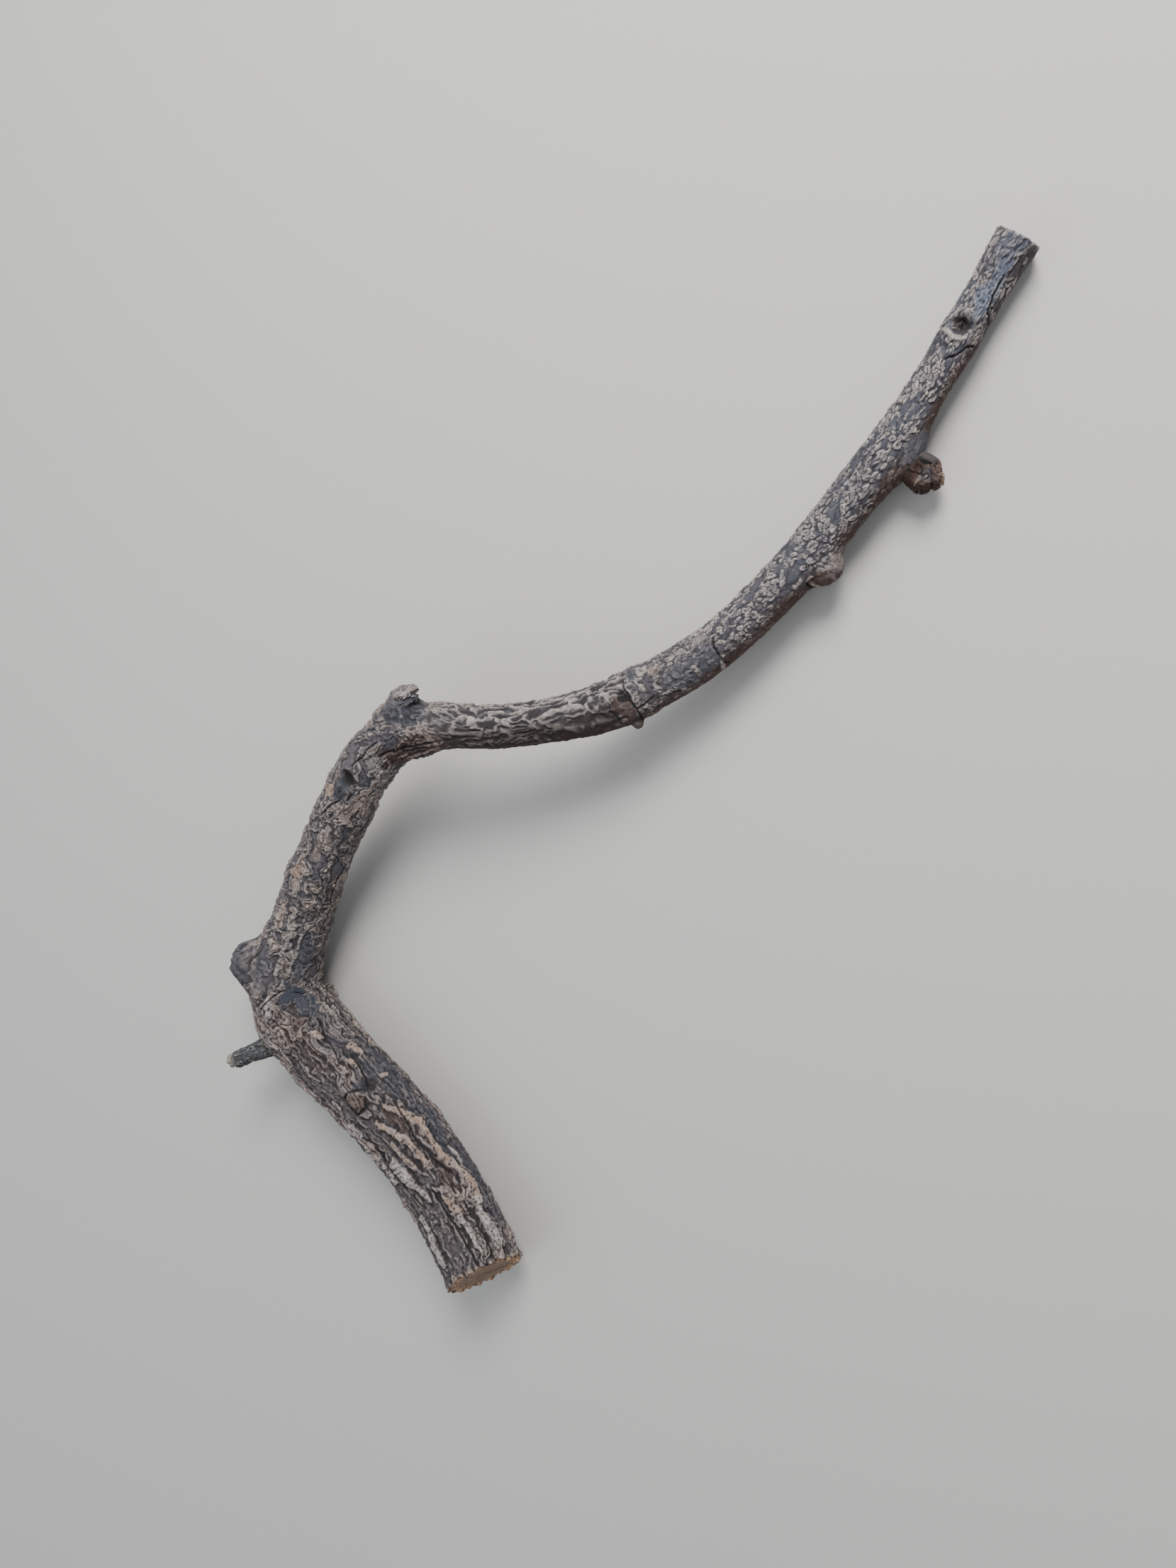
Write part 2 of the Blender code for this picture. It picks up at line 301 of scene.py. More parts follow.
def terraces(value, rise, steep=0.2):
    """Layers of cork on the ground bark: their height in layers, lips, and the gaps beside them."""
    level = np.maximum(value / rise, 0)
    part = level - np.floor(level)
    height = np.floor(level) + share(part, 1 - steep, 1)
    lip = (level >= 1) * share(part, 0.36, 0.06)
    gap = share(part, 1 - 2.6 * steep, 1 - 1.2 * steep)
    gap = gap * share(part, 1 - 0.3 * steep, 1 - 0.9 * steep)
    return height, lip, gap


# Each kind of bark gives its height in mm, and its pale, black, tan and bloom masks

def old_bark(moved, turn):
    """Thick bark of the butt: long ridges of layered cork, cracked across, on fibrous ground."""
    ridges = swells(moved, turn, (0.95, 38, 18, 20), (0.52, 14, 32, 21), (0.32, 8.5, 54, 22),
                    (0.15, 4.2, 92, 24))
    layers, lip, gap = terraces(ridges + 0.20, 0.40)
    on_ridge = share(layers, 0.4, 1.1)
    across = 1 - beside_furrow(swells(moved, turn, (1, 4.4, 17, 25), (0.45, 2.2, 36, 26)), 0.16)
    fibres = swells(moved, turn, (0.55, 9, 100, 27), (0.36, 4, 62, 28))
    flakes = 0.75 * share(swell(moved / 4.0, turn, 74, 32), 0.1, 0.6)
    flakes = flakes + 0.5 * share(swell(moved / 6.5, turn, 48, 33), 0.2, 0.6)
    height = layers - 0.7 * gap - 0.75 * across * on_ridge + fibres + flakes - 1.4

    mottle = share(swells(moved, turn, (1, 9, 16, 29), (0.7, 2.6, 44, 30)), -0.7, 0.8)
    streaks = share(swell(moved / 7, turn, 84, 31), 0.1, 0.8)
    pale = share(layers, 0.5, 1.8) * (0.05 + 0.22 * mottle)
    pale = np.maximum(lip * (0.06 + 0.36 * mottle), pale)
    # Black in the gap at the foot of each cork layer is a painted shadow line; the cracks across
    # the ridges are dark too.
    black = np.maximum(0.45 * gap, 0.45 * across * on_ridge)
    black = black + 0.30 * share(fibres, -0.15, -0.55) * (1 - on_ridge)
    tan, bloom = (0.06 + 0.26 * mottle) * on_ridge, 0.6 * streaks * (1 - on_ridge)
    return height, pale, black, tan, bloom


def plated_bark(moved, turn):
    """Thinner bark: thin layered plates of cork with curled pale lips, on smooth grey ground."""
    bent = moved + swells(moved, turn, (1.2, 3.6, 26, 60), (0.5, 1.7, 50, 69))
    wound = turn + swells(moved, turn, (0.010, 4.4, 20, 70), (0.005, 1.9, 44, 77))
    plates = 0.25 * swell(moved / 20, turn, 7, 65)
    plates = plates + swells(bent, wound, (0.85, 8.5, 25, 61), (0.45, 3.6, 46, 62))
    layers, lip, gap = terraces(plates + 0.62, 0.46, 0.26)
    fine = swells(moved, turn, (0.24, 2.4, 48, 64), (0.30, 7, 16, 66), (0.24, 1.6, 70, 78))
    height = 0.42 * layers + 0.35 * lip + 0.35 * np.clip(plates, -1, 1) - 0.35 * gap + fine - 0.9

    mottle = share(swells(moved, turn, (1, 13, 8, 66), (0.8, 3, 26, 67)), -0.8, 0.7)
    pale = 0.05 + share(plates, -0.3, 0.9) * (0.07 + 0.28 * mottle)
    pale = np.maximum(lip * (0.20 + 0.70 * mottle), pale)
    tan, bloom = (0.10 + 0.36 * mottle) * share(plates, 0.0, 0.5), 0.50 * share(plates, 0.2, -0.1)
    # The black mask is a painted shadow line in the gap at the foot of each plate.
    return height, pale, 0.55 * gap, tan, bloom


def sheath_bark(moved, turn):
    """The outer sheath past the upper elbow: wavy pale ridges of cork along dark ground."""
    bent = moved + swells(moved, turn, (1.4, 4.0, 20, 90), (0.5, 1.8, 44, 91))
    wound = turn + swells(moved, turn, (0.010, 4.6, 17, 92), (0.005, 1.9, 40, 93))
    crossing = swells(bent, wound, (0.80, 11, 32, 94), (0.42, 4.6, 50, 95))
    # pale ridges of cork in broken runs, placed mostly on the side towards the key lamp so the
    # shaded side is darker: partly painted light
    lamp_side = 0.85 * np.cos((turn + 0.07) * math.tau)
    wanted = share(swells(moved, turn, (0.8, 13, 8, 96), (1, 3.4, 22, 97)) + lamp_side, -0.35, 0.30)
    beads = 0.5 + 0.5 * swell(bent / 2.0, wound, 34, 98)
    ridge = share(np.abs(crossing), 0.30 + 0.25 * beads, 0.05) * wanted
    fine = swells(moved, turn, (0.30, 1.8, 50, 99), (0.40, 6, 13, 100))
    height = ridge * (0.7 + 0.9 * beads) + 0.35 * np.clip(crossing, -1, 1) + fine - 0.6

    pale = ridge * (0.10 + 0.62 * beads)
    black = 0.75 * share(np.abs(crossing), 0.30, 0.60)
    return height, pale, black, 0.15 * ridge * beads, 0.45 * (1 - ridge)


def young_bark(moved, turn):
    """Smooth bark with small nodules of pale cork, each a ring round a sunken middle."""
    bent = moved + 0.8 * swell(moved / 1.9, turn, 40, 80)
    wound = turn + 0.006 * swell(moved / 2.2, turn, 34, 88)
    near, gap, tilt, number = cells(bent / 3.9, wound, 37, 82, scatter=0.44)
    # the nodules stand in chains, and more pale ones are put on the side towards the key lamp so
    # the shaded side is darker: partly painted light
    lamp_side = 0.40 * np.cos((turn + 0.10) * math.tau)
    chain = swells(moved, turn, (0.7, 16, 10, 83), (0.6, 6, 17, 84)) + lamp_side
    wanted = share(chain + 1.9 * (number - 0.5), -0.32, 0.22)
    bead = share(near, 0.64, 0.40) * share(gap, 0.02, 0.22) * wanted
    sunken = share(near, 0.36, 0.14) * wanted * share(number, 0.1, 0.4)
    wrinkles = swells(bent, wound, (1, 6, 30, 89), (0.5, 2.6, 50, 79))
    wrinkles = 1 - beside_furrow(wrinkles, 0.22)
    fine = swells(moved, turn, (0.20, 2.2, 44, 85), (0.35, 9, 12, 86)) - 0.35 * wrinkles
    height = bead * (0.7 + 0.6 * tilt) - 0.4 * sunken + fine - 0.35

    # A painted highlight makes each nodule paler on its higher side; its paleness also varies at
    # random.
    lit = 0.48 + 0.40 * share(tilt, -0.4, 0.4) + 0.7 * (number - 0.65)
    lit = lit + 0.3 * swell(moved / 12, turn, 8, 87)
    pale = bead * lit * (1 - 0.75 * sunken)
    # Dark between neighbouring nodules: painted shade in the low ground there; the wrinkles are
    # dark too.
    black = 0.7 * share(gap, 0.14, 0.02) * wanted + 0.45 * wrinkles * (1 - bead)
    tan = 0.15 * bead * share(number, 0.6, 0.9)
    return height, pale, np.minimum(black, 0.75), tan, 1 - 0.6 * bead


TONES = ("tan", "pale", "slate", "brown", "bloom", "blue", "black")
# Distances along the pith over which one kind of bark gives way to the next
OLD_BARK_FADES = (266, 222)
SHEATH_STARTS = (474, 515)
YOUNG_BARK_STARTS = (600, 622)


def mix_barks(bark):
    """Height, roughness and colours of the kinds of bark, each on its stretch of the branch."""
    old = share(bark.distance, *OLD_BARK_FADES)
    young = share(bark.distance, *YOUNG_BARK_STARTS)
    sheath = share(bark.distance, *SHEATH_STARTS) - young
    middling = 1 - old - sheath - young
    bark.tones = {tone: np.zeros(bark.distance.shape) for tone in TONES}
    bark.height = np.zeros(bark.distance.shape)
    for part, kind in ((old, old_bark), (middling, plated_bark), (sheath, sheath_bark),
                       (young, young_bark)):
        raised, *coloured = kind(bark.moved, bark.turned)
        bark.height = bark.height + part * raised
        for tone, mask in zip(("pale", "black", "tan", "bloom"), coloured):
            bark.tones[tone] = bark.tones[tone] + part * mask
    # the bark grows bluer and lighter towards the tip
    greyer = 0.6 * young * share(bark.distance, 800, 560) + 0.4 * old
    bark.tones["bloom"] = bark.tones["bloom"] * (1 - greyer)
    rough = swells(bark.distance, bark.turn, (0.22, 1.8, 90, 73), (0.16, 1.2, 120, 74))
    bark.rough = swells(bark.distance, bark.turn, (0.12, 1.5, 80, 51), (0.07, 0.9, 130, 52))
    bark.rough = bark.rough + old * rough


def tint(bark, tone, strength):
    bark.tones[tone] = np.maximum(bark.tones[tone], strength)


def cover(bark, here, lost=dict.fromkeys(TONES, 1)):
    """Take a share of the bark's own colours away where something else covers it."""
    for tone, part in lost.items():
        bark.tones[tone] = bark.tones[tone] * (1 - part * here)


def shade(bark):
    """Smoother, browner bark under the thin limbs, partly its own colour and partly painted shade
    on the side away from the lamps, and painted shade on the inner side of the sheath.
    """
    slow = swell(bark.distance / 16, bark.turn, 6, 57)
    under = share(np.abs(around_clock(bark.clock, 128)) + 0.25 * slow, 1.75, 1.1)
    under = under * share(bark.distance, 440, 520) * (1 - 0.6 * share(bark.distance, 832, 872))
    # Painted shade on the inner side of the sheath: pale and blue-grey taken away, black and brown
    # added.
    inner_shade = share(bark.distance, 485, 510) * share(bark.distance, 612, 596)
    inner_shade = inner_shade * share(np.abs(around_clock(bark.clock, 75)), 1.6, 1.0)
    bark.height = bark.height * (1 - 0.55 * under)
    cover(bark, under, {"pale": 0.75, "tan": 0.6, "bloom": 1, "black": 0.5})
    cover(bark, inner_shade, {"pale": 0.72, "bloom": 1})
    tint(bark, "black", 0.45 * inner_shade)
    tint(bark, "brown", np.maximum(0.9 * under, 0.4 * inner_shade))


def lay_patches(bark):
    for patch in patches:
        sideways = around_clock(bark.clock, patch.clock) * bark.radius + bark.drift
        spread = np.hypot((bark.moved - patch.at) / patch.along, sideways / patch.around)
        here = share(spread + bark.ragged, 1.2, 0.8) * patch.strength
        bark.height = bark.height * (1 - patch.smooth * here)
        cover(bark, here)
        tint(bark, patch.tone, here)


def raise_crests(bark):
    """Worn crests of cork, with crumbled sides and small cracks across them."""
    furrows = swells(bark.moved, bark.turned, (1, 2.4, 10, 56), (0.3, 1.3, 24, 59))
    cracked = 1 - beside_furrow(furrows, 0.13)
    width = 0.86 + 0.34 * swell(bark.distance / 9, bark.turn, 12, 60) + 0.8 * bark.ragged
    for crest in crests:
        off = off_line(bark, 0.5, crest.line) / (crest.half_width * width) + 0.60 * bark.crumbled
        here = share(off, 1.15, 0.7)
        bark.height = bark.height * (1 - 0.6 * here) + crest.height * share(off, 1.5, 0.6)
        bark.height = bark.height - 0.8 * here * cracked + 0.8 * here * bark.crumbled
        cover(bark, here)
        worn = np.clip(0.70 + 0.75 * bark.crumbled, 0.15, 1)
        tint(bark, crest.tone, here * crest.strength * worn)
        tint(bark, "black", 0.65 * here * cracked)


def open_cracks(bark):
    width = 0.85 + 1.1 * bark.ragged
    for crack in cracks:
        open_here = share(off_line(bark, 0.6, crack.line) / (crack.half_width * width), 1.0, 0.3)
        bark.height = bark.height - crack.depth * open_here
        tint(bark, "black", open_here)


def grow_bark(distance, clock):
    """The bark at places on the limb: its height over the plain limb in mm, and colour masks."""
    distance, clock = np.broadcast_arrays(distance, clock)
    radius = on_pith(distance)[..., 3] / 2
    turn = (clock / math.tau) % 1.0
    # all that grows on the limb strays a little from straight
    stray = swells(distance, turn, (3.2, 15, 8, 1), (1.3, 4.6, 20, 2))
    drift = swells(distance, turn, (2.6, 19, 7, 3), (1.1, 4.2, 22, 4))
    bark = SimpleNamespace(
        distance=distance, clock=clock, radius=radius, turn=turn, stray=stray, drift=drift,
        moved=distance + stray, turned=turn + drift / (math.tau * radius),
        ragged=swells(distance, turn, (0.30, 3.4, 34, 54), (0.18, 1.6, 70, 55)),
        crumbled=swells(distance, turn, (0.5, 2.6, 48, 71), (0.3, 1.3, 90, 72)),
    )
    mix_barks(bark)
    shade(bark)
    lay_patches(bark)
    raise_crests(bark)
    open_cracks(bark)
    for lump in lumps:
        bark.height = bark.height + lump_height(bark, lump) * (1 + 0.14 * bark.crumbled)
    # the saw chipped the bark at the foot
    chipped = swells(distance, turn, (1.1, 1.8, 44, 75), (0.6, 1.2, 90, 76))
    bark.height = bark.height + chipped * share(distance, BUTT_CUT + 5, BUTT_CUT) + bark.rough
    return bark


def rolled_sheet(rows, sides):
    """A tube of radius 1 rolled round x, one unit a row, and pinched shut at its ends."""
    bm = bmesh.new()
    bmesh.ops.create_grid(bm, x_segments=rows, y_segments=sides, size=0.5)
    for vertex in bm.verts:
        row = round((vertex.co.x + 0.5) * rows)
        clock = (vertex.co.y + 0.5) * math.tau
        radius = 0.0 if row in (0, rows) else 1.0
        vertex.co = (row, radius * math.cos(clock), radius * math.sin(clock))
    bmesh.ops.remove_doubles(bm, verts=bm.verts, dist=0.001)
    bmesh.ops.recalc_face_normals(bm, faces=bm.faces)
    return bm


def add_piece(name, bm):
    mesh = bpy.data.meshes.new(name)
    bm.to_mesh(mesh)
    bm.free()
    mesh.shade_smooth()
    piece = bpy.data.objects.new(name, mesh)
    bpy.context.scene.collection.objects.link(piece)
    return piece


def in_frame(places):
    """Places in mm from the first station, as places in the part's frame in metres."""
    return (places - FOOTPRINT_MIDDLE) * MM


def mark(mesh, label, values):
    """Keep a number or a vector for each point of a mesh."""
    kind, key = ("FLOAT", "value") if values.ndim == 1 else ("FLOAT_VECTOR", "vector")
    mesh.attributes.new(label, kind, "POINT").data.foreach_set(key, values.ravel())


def shaped_piece(name, places, masks):
    """A closed skin from a grid of places in mm, a row and a column for each, with its masks."""
    rows, sides = places.shape[0] - 1, places.shape[1]
    piece = add_piece(name, rolled_sheet(rows, sides))
    mesh = piece.data
    tube = np.zeros(len(mesh.vertices) * 3)
    mesh.vertices.foreach_get("co", tube)
    tube = tube.reshape(-1, 3)
    row = np.rint(tube[:, 0]).astype(int)
    column = np.rint(np.arctan2(tube[:, 2], tube[:, 1]) / math.tau * sides).astype(int) % sides
    mesh.vertices.foreach_set("co", in_frame(places)[row, column].ravel())
    for label, grid in masks.items():
        mark(mesh, label, np.broadcast_to(grid, places.shape[:2] + grid.shape[2:])[row, column])
    mesh.update()
    return piece


def worn_masks(height, cell_along, cell_around):
    """Where the bark stands over its surroundings, near by and further round."""
    def reach(mm, cell):
        return max(1, round(mm / cell))

    softly = blurred(height, reach(0.9, cell_along), reach(0.9, cell_around))
    broadly = blurred(height, reach(2.4, cell_along), reach(2.4, cell_around))
    return {
        "edge": np.clip((height - softly) / 0.30, -1, 1),
        "relief": np.clip((height - broadly) / 0.9, -1, 1),
    }


def skin_grid(rows, sides, start_cap, end_cap):
    """Rows and sides of a skin: row, share of the way out, share of the way along, and clock."""
    row = np.arange(rows + 1)[:, None]
    reach = np.clip(np.minimum(row / start_cap, (rows - row) / end_cap), 0, 1)
    along = np.clip((row - start_cap) / (rows - start_cap - end_cap), 0, 1)
    return row, reach, along, (np.arange(sides) / sides * math.tau)[None, :]


def sawn_face(clock, reach, radius):
    """How far a sawn face stands out, in mm: saw marks across it and crumbled bark at its rim."""
    ahead, aside = reach * radius * np.cos(clock), reach * radius * np.sin(clock)
    turn = (clock / math.tau) % 1.0
    marks = 0.10 * np.sin(ahead * 2.6 + 0.5 * np.sin(aside / 5))
    marks = marks + 0.12 * swell(reach * 9, turn, 40, 101)
    crumbs = 1.6 * swell(reach * 14, turn, 46, 102) + 1.0 * swell(reach * 22, turn, 100, 103)
    return marks + crumbs * share(reach, 0.76, 0.9) * share(radius, 6, 24)


def limb_skin(name, start, end, sides, rows, start_cap, end_cap, sawn_start=False, sawn_end=False):
    """The closed bark skin of one limb, with its colour masks as point attributes."""
    row, reach, along, clock = skin_grid(rows, sides, start_cap, end_cap)
    turn = clock / math.tau
    distance = start + along * (end - start)
    thickness = on_pith(distance)[..., 3]
    # the saw went through the foot at a slant, and left the bark ragged at both ends
    lean = np.clip(1 - (distance - BUTT_CUT) / SLANT_FADE, 0, 1) * math.tan(SAW_SLANT)
    distance = distance + lean * thickness / 2 * reach * np.cos(clock - SAW_TURN)
    ragged = swells(0.5, turn, (1.2, 1, 44, 104), (0.9, 1, 100, 105)) * thickness / 50
    near_start = share(along, 5 / (end - start), 0) * sawn_start
    near_end = share(along, 1 - 4 / (end - start), 1) * sawn_end
    distance = distance + ragged * reach ** 8 * (near_start - 1.6 * near_end)

    bark = grow_bark(distance, clock)
    torn = 0.85 * share(swell(distance / 1.4, turn, 60, 106), -0.7, 0.4)
    tint(bark, "tan", torn * near_start ** 3)
    tint(bark, "pale", torn * near_end ** 3)
    pith = on_pith(distance)
    forward, up, right = directions(distance)
    radius = pith[..., 3] / 2 + bark.height
    ahead, aside = reach * radius * np.cos(clock), reach * radius * np.sin(clock)
    places = pith[..., :3] + ahead[..., None] * up + aside[..., None] * right
    faces = (row < start_cap) * sawn_start + (row > rows - end_cap) * sawn_end
    cut = sawn_face(clock, reach, radius) * faces
    places = places + cut[..., None] * forward
    # it rests on the surface where it would go through
    places[..., 2] = np.maximum(places[..., 2], CLEARANCE)

    cell_along = (end - start) / (rows - start_cap - end_cap)
    cell_around = math.tau * float(thickness.mean()) / 2 / sides
    masks = worn_masks(bark.height, cell_along, cell_around)
    masks.update(bark.tones)
    masks["straight"] = np.stack([distance, ahead, aside], -1) * MM
    masks["sawn"] = np.where(reach < 1, 1 - reach, 0.0) * np.ones(distance.shape)
    return shaped_piece(name, places, masks)


def show_sawn_wood(piece, bark, wood):
    """Bark on the skin, and wood on the faces where the limb was sawn."""
    mesh = piece.data
    mesh.materials.append(bark)
    mesh.materials.append(wood)
    sawn = [point.value for point in mesh.attributes["sawn"].data]
    for face in mesh.polygons:
        if all(sawn[corner] > 0 for corner in face.vertices):
            face.material_index = 1


# Shader nodes

def feed(tree, socket, value):
    """Link one socket to another, or give it a plain value."""
    if isinstance(value, bpy.types.NodeSocket):
        tree.links.new(value, socket)
    else:
        socket.default_value = value


def node(tree, kind, given=None, **settings):
    """A node with these settings, its inputs fed by label or number."""
    made = tree.nodes.new(kind)
    for key, value in settings.items():
        setattr(made, key, value)
    for label, value in (given or {}).items():
        feed(tree, made.inputs[label], value)
    return made


def mixed(tree, factor, a, b, blend="MIX"):
    made = node(tree, "ShaderNodeMix", data_type="RGBA", blend_type=blend)
    for socket, value in zip([s for s in made.inputs if s.enabled], (factor, a, b)):
        feed(tree, socket, value)
    return next(s for s in made.outputs if s.enabled)


def worked_out(tree, operation, *values, clamp=False):
    return node(tree, "ShaderNodeMath", dict(enumerate(values)),
                operation=operation, use_clamp=clamp).outputs[0]


def product(tree, *values, clamp=False):
    return worked_out(tree, "MULTIPLY", *values, clamp=clamp)


def eased(tree, value, start, end, low=0.0, high=1.0):
    """From low at start to high at end, eased at both."""
    given = {"Value": value, "From Min": start, "From Max": end, "To Min": low, "To Max": high}
    made = node(tree, "ShaderNodeMapRange", given, interpolation_type="SMOOTHSTEP")
    return made.outputs["Result"]


def attribute(tree, name, output="Fac"):
    return node(tree, "ShaderNodeAttribute", attribute_name=name).outputs[output]


def node_group(name, inputs, outputs):
    """A shader node group: inputs are (label, kind, plain value), outputs (label, kind)."""
    group = bpy.data.node_groups.new(name, "ShaderNodeTree")
    for label, kind, value in inputs:
        socket = group.interface.new_socket(label, in_out="INPUT", socket_type=kind)
        if value is not None:
            socket.default_value = value
    for label, kind in outputs:
        group.interface.new_socket(label, in_out="OUTPUT", socket_type=kind)
    return group, node(group, "NodeGroupInput"), node(group, "NodeGroupOutput")


def place_group(tree, group, **values):
    """Put a group in a material, with underscores in its sockets' names as spaces."""
    given = {label.replace("_", " "): value for label, value in values.items()}
    return node(tree, "ShaderNodeGroup", given, node_tree=group)


FLOAT, COLOUR, VECTOR = "NodeSocketFloat", "NodeSocketColor", "NodeSocketVector"


def grain_group():
    """Grain that runs along the limb: a fine height, and slow stains."""
    group, given, result = node_group(
        "wood_grain",
        [("Place", VECTOR, None), ("Scale", FLOAT, 900.0), ("Stretch", FLOAT, 2.5)],
        [("Height", FLOAT), ("Stains", FLOAT)],
    )
    take = given.outputs
    squeezed = worked_out(group, "DIVIDE", 1.0, take["Stretch"])
    squeeze = node(group, "ShaderNodeCombineXYZ", {"X": squeezed, "Y": 1.0, "Z": 1.0})
    along = node(group, "ShaderNodeVectorMath", {0: take["Place"], 1: squeeze.outputs[0]},
                 operation="MULTIPLY")
    fine = node(group, "ShaderNodeTexNoise", {
        "Vector": along.outputs[0], "Scale": take["Scale"],
        "Detail": 5.0, "Roughness": 0.62, "Distortion": 0.5,
    })
    stains = node(group, "ShaderNodeTexNoise", {
        "Vector": along.outputs[0], "Scale": product(group, take["Scale"], 0.10),
        "Detail": 3.0,
    })
    feed(group, result.inputs["Height"], fine.outputs["Fac"])
    feed(group, result.inputs["Stains"], stains.outputs["Fac"])
    return group


def weathering_group():
    """Colours of weathered bark: dirt and painted shade in the grooves, pale edges that are partly
    wear and partly a painted highlight, cork and stains.
    """
    colours = ("Ground", "Ground Light", "Rim", "Pale", "Tan", "Slate", "Brown", "Bloom", "Blue",
               "Dirt")
    masks = ("Edge", "Relief", "Pale Mask", "Tan Mask", "Slate Mask", "Brown Mask", "Bloom Mask",
             "Blue Mask", "Black Mask", "Grain", "Stains")
    group, given, result = node_group(
        "weathering",
        [(label, COLOUR, None) for label in colours] + [(label, FLOAT, 0.0) for label in masks]
        + [("Rim Amount", FLOAT, 0.8), ("Dirt Amount", FLOAT, 0.8)],
        [("Color", COLOUR), ("Roughness", FLOAT)],
    )
    take = given.outputs
    grain = eased(group, take["Grain"], 0.35, 0.66)
    stained = eased(group, take["Stains"], 0.38, 0.62)
    colour = mixed(group, grain, take["Ground"], take["Ground Light"])
    for tone in ("Bloom", "Brown", "Slate", "Blue"):
        ground_shows = eased(group, take["Grain"], 0.3, 0.7, 0.45, 0.0)
        stain = mixed(group, ground_shows, take[tone], take["Ground"])
        colour = mixed(group, take[tone + " Mask"], colour, stain)
    # Raised edges painted pale: partly wear, partly a painted highlight.
    standing = eased(group, take["Relief"], -0.15, 0.55)
    rim = product(group, eased(group, take["Edge"], 0.0, 0.8), standing)
    rim = product(group, rim, eased(group, take["Grain"], 0.25, 0.6, 0.5, 1.0))
    covered = worked_out(group, "ADD", take["Brown Mask"], take["Slate Mask"], clamp=True)
    rim = product(group, rim, eased(group, covered, 0.0, 1.0, 1.0, 0.3))
    rim = product(group, rim, take["Rim Amount"], clamp=True)
    colour = mixed(group, rim, colour, take["Rim"])
    speckle = eased(group, take["Grain"], 0.32, 0.55, 0.30, 1.0)
    pale = product(group, take["Pale Mask"], speckle)
    colour = mixed(group, pale, colour, take["Pale"])
    cork = mixed(group, product(group, stained, 0.45), take["Tan"], take["Pale"])
    colour = mixed(group, product(group, take["Tan Mask"], speckle), colour, cork)
    # Low places and hollows painted dark: partly dirt, partly painted shade; the black mask joins
    # them.
    dirt_and_shade = eased(group, product(group, take["Relief"], -1.0), 0.10, 0.85)
    low = eased(group, product(group, take["Edge"], -1.0), 0.12, 0.85)
    dirt_and_shade = worked_out(group, "MAXIMUM", dirt_and_shade, low)
    dirt_and_shade = product(group, dirt_and_shade, take["Dirt Amount"], clamp=True)
    dirt_and_shade = worked_out(group, "MAXIMUM", dirt_and_shade, take["Black Mask"])
    colour = mixed(group, dirt_and_shade, colour, take["Dirt"])
    feed(group, result.inputs["Color"], colour)
    smoother = product(group, take["Slate Mask"], 0.30)
    feed(group, result.inputs["Roughness"], worked_out(group, "SUBTRACT", 0.93, smoother))
    return group


WOOD_GRAIN = grain_group()
WEATHERING = weathering_group()


def new_material(name):
    material = bpy.data.materials.new(name)
    material.use_nodes = True
    tree = material.node_tree
    return material, tree, tree.nodes["Principled BSDF"]


def bumped(tree, shader, height, strength, distance):
    bump = node(tree, "ShaderNodeBump",
                {"Strength": strength, "Distance": distance, "Height": height})
    feed(tree, shader.inputs["Normal"], bump.outputs["Normal"])


def bark_material(name, colours, rim_amount, dirt_and_shade_amount, scale, stretch, bump):
    """Weathered bark on a skin that carries the colour masks."""
    material, tree, shader = new_material(name)
    grain = place_group(tree, WOOD_GRAIN, Place=attribute(tree, "straight", "Vector"),
                        Scale=scale, Stretch=stretch)
    masks = {tone.title() + "_Mask": attribute(tree, tone) for tone in TONES}
    weathered = place_group(
        tree, WEATHERING, **colours, **masks, Rim_Amount=rim_amount, Dirt_Amount=dirt_and_shade_amount,
        Edge=attribute(tree, "edge"), Relief=attribute(tree, "relief"),
        Grain=grain.outputs["Height"], Stains=grain.outputs["Stains"],
    )
    feed(tree, shader.inputs["Base Color"], weathered.outputs["Color"])
    feed(tree, shader.inputs["Roughness"], weathered.outputs["Roughness"])
    shader.inputs["Specular IOR Level"].default_value = 0.25
    bumped(tree, shader, grain.outputs["Height"], 0.9, bump)
    return material


# The rim colour paints raised edges pale, partly as a painted highlight; the darkest colour paints
# hollows and cracks, partly as painted shade.
BARK_COLOURS = {
    "Ground": (0.050, 0.043, 0.046, 1), "Ground_Light": (0.135, 0.118, 0.120, 1),
    "Rim": (0.35, 0.305, 0.285, 1), "Pale": (0.53, 0.48, 0.455, 1), "Tan": (0.43, 0.30, 0.23, 1),
    "Slate": (0.042, 0.051, 0.072, 1), "Brown": (0.078, 0.044, 0.034, 1),
    "Bloom": (0.092, 0.096, 0.120, 1), "Blue": (0.155, 0.195, 0.275, 1),
    "Dirt": (0.020, 0.017, 0.018, 1),
}


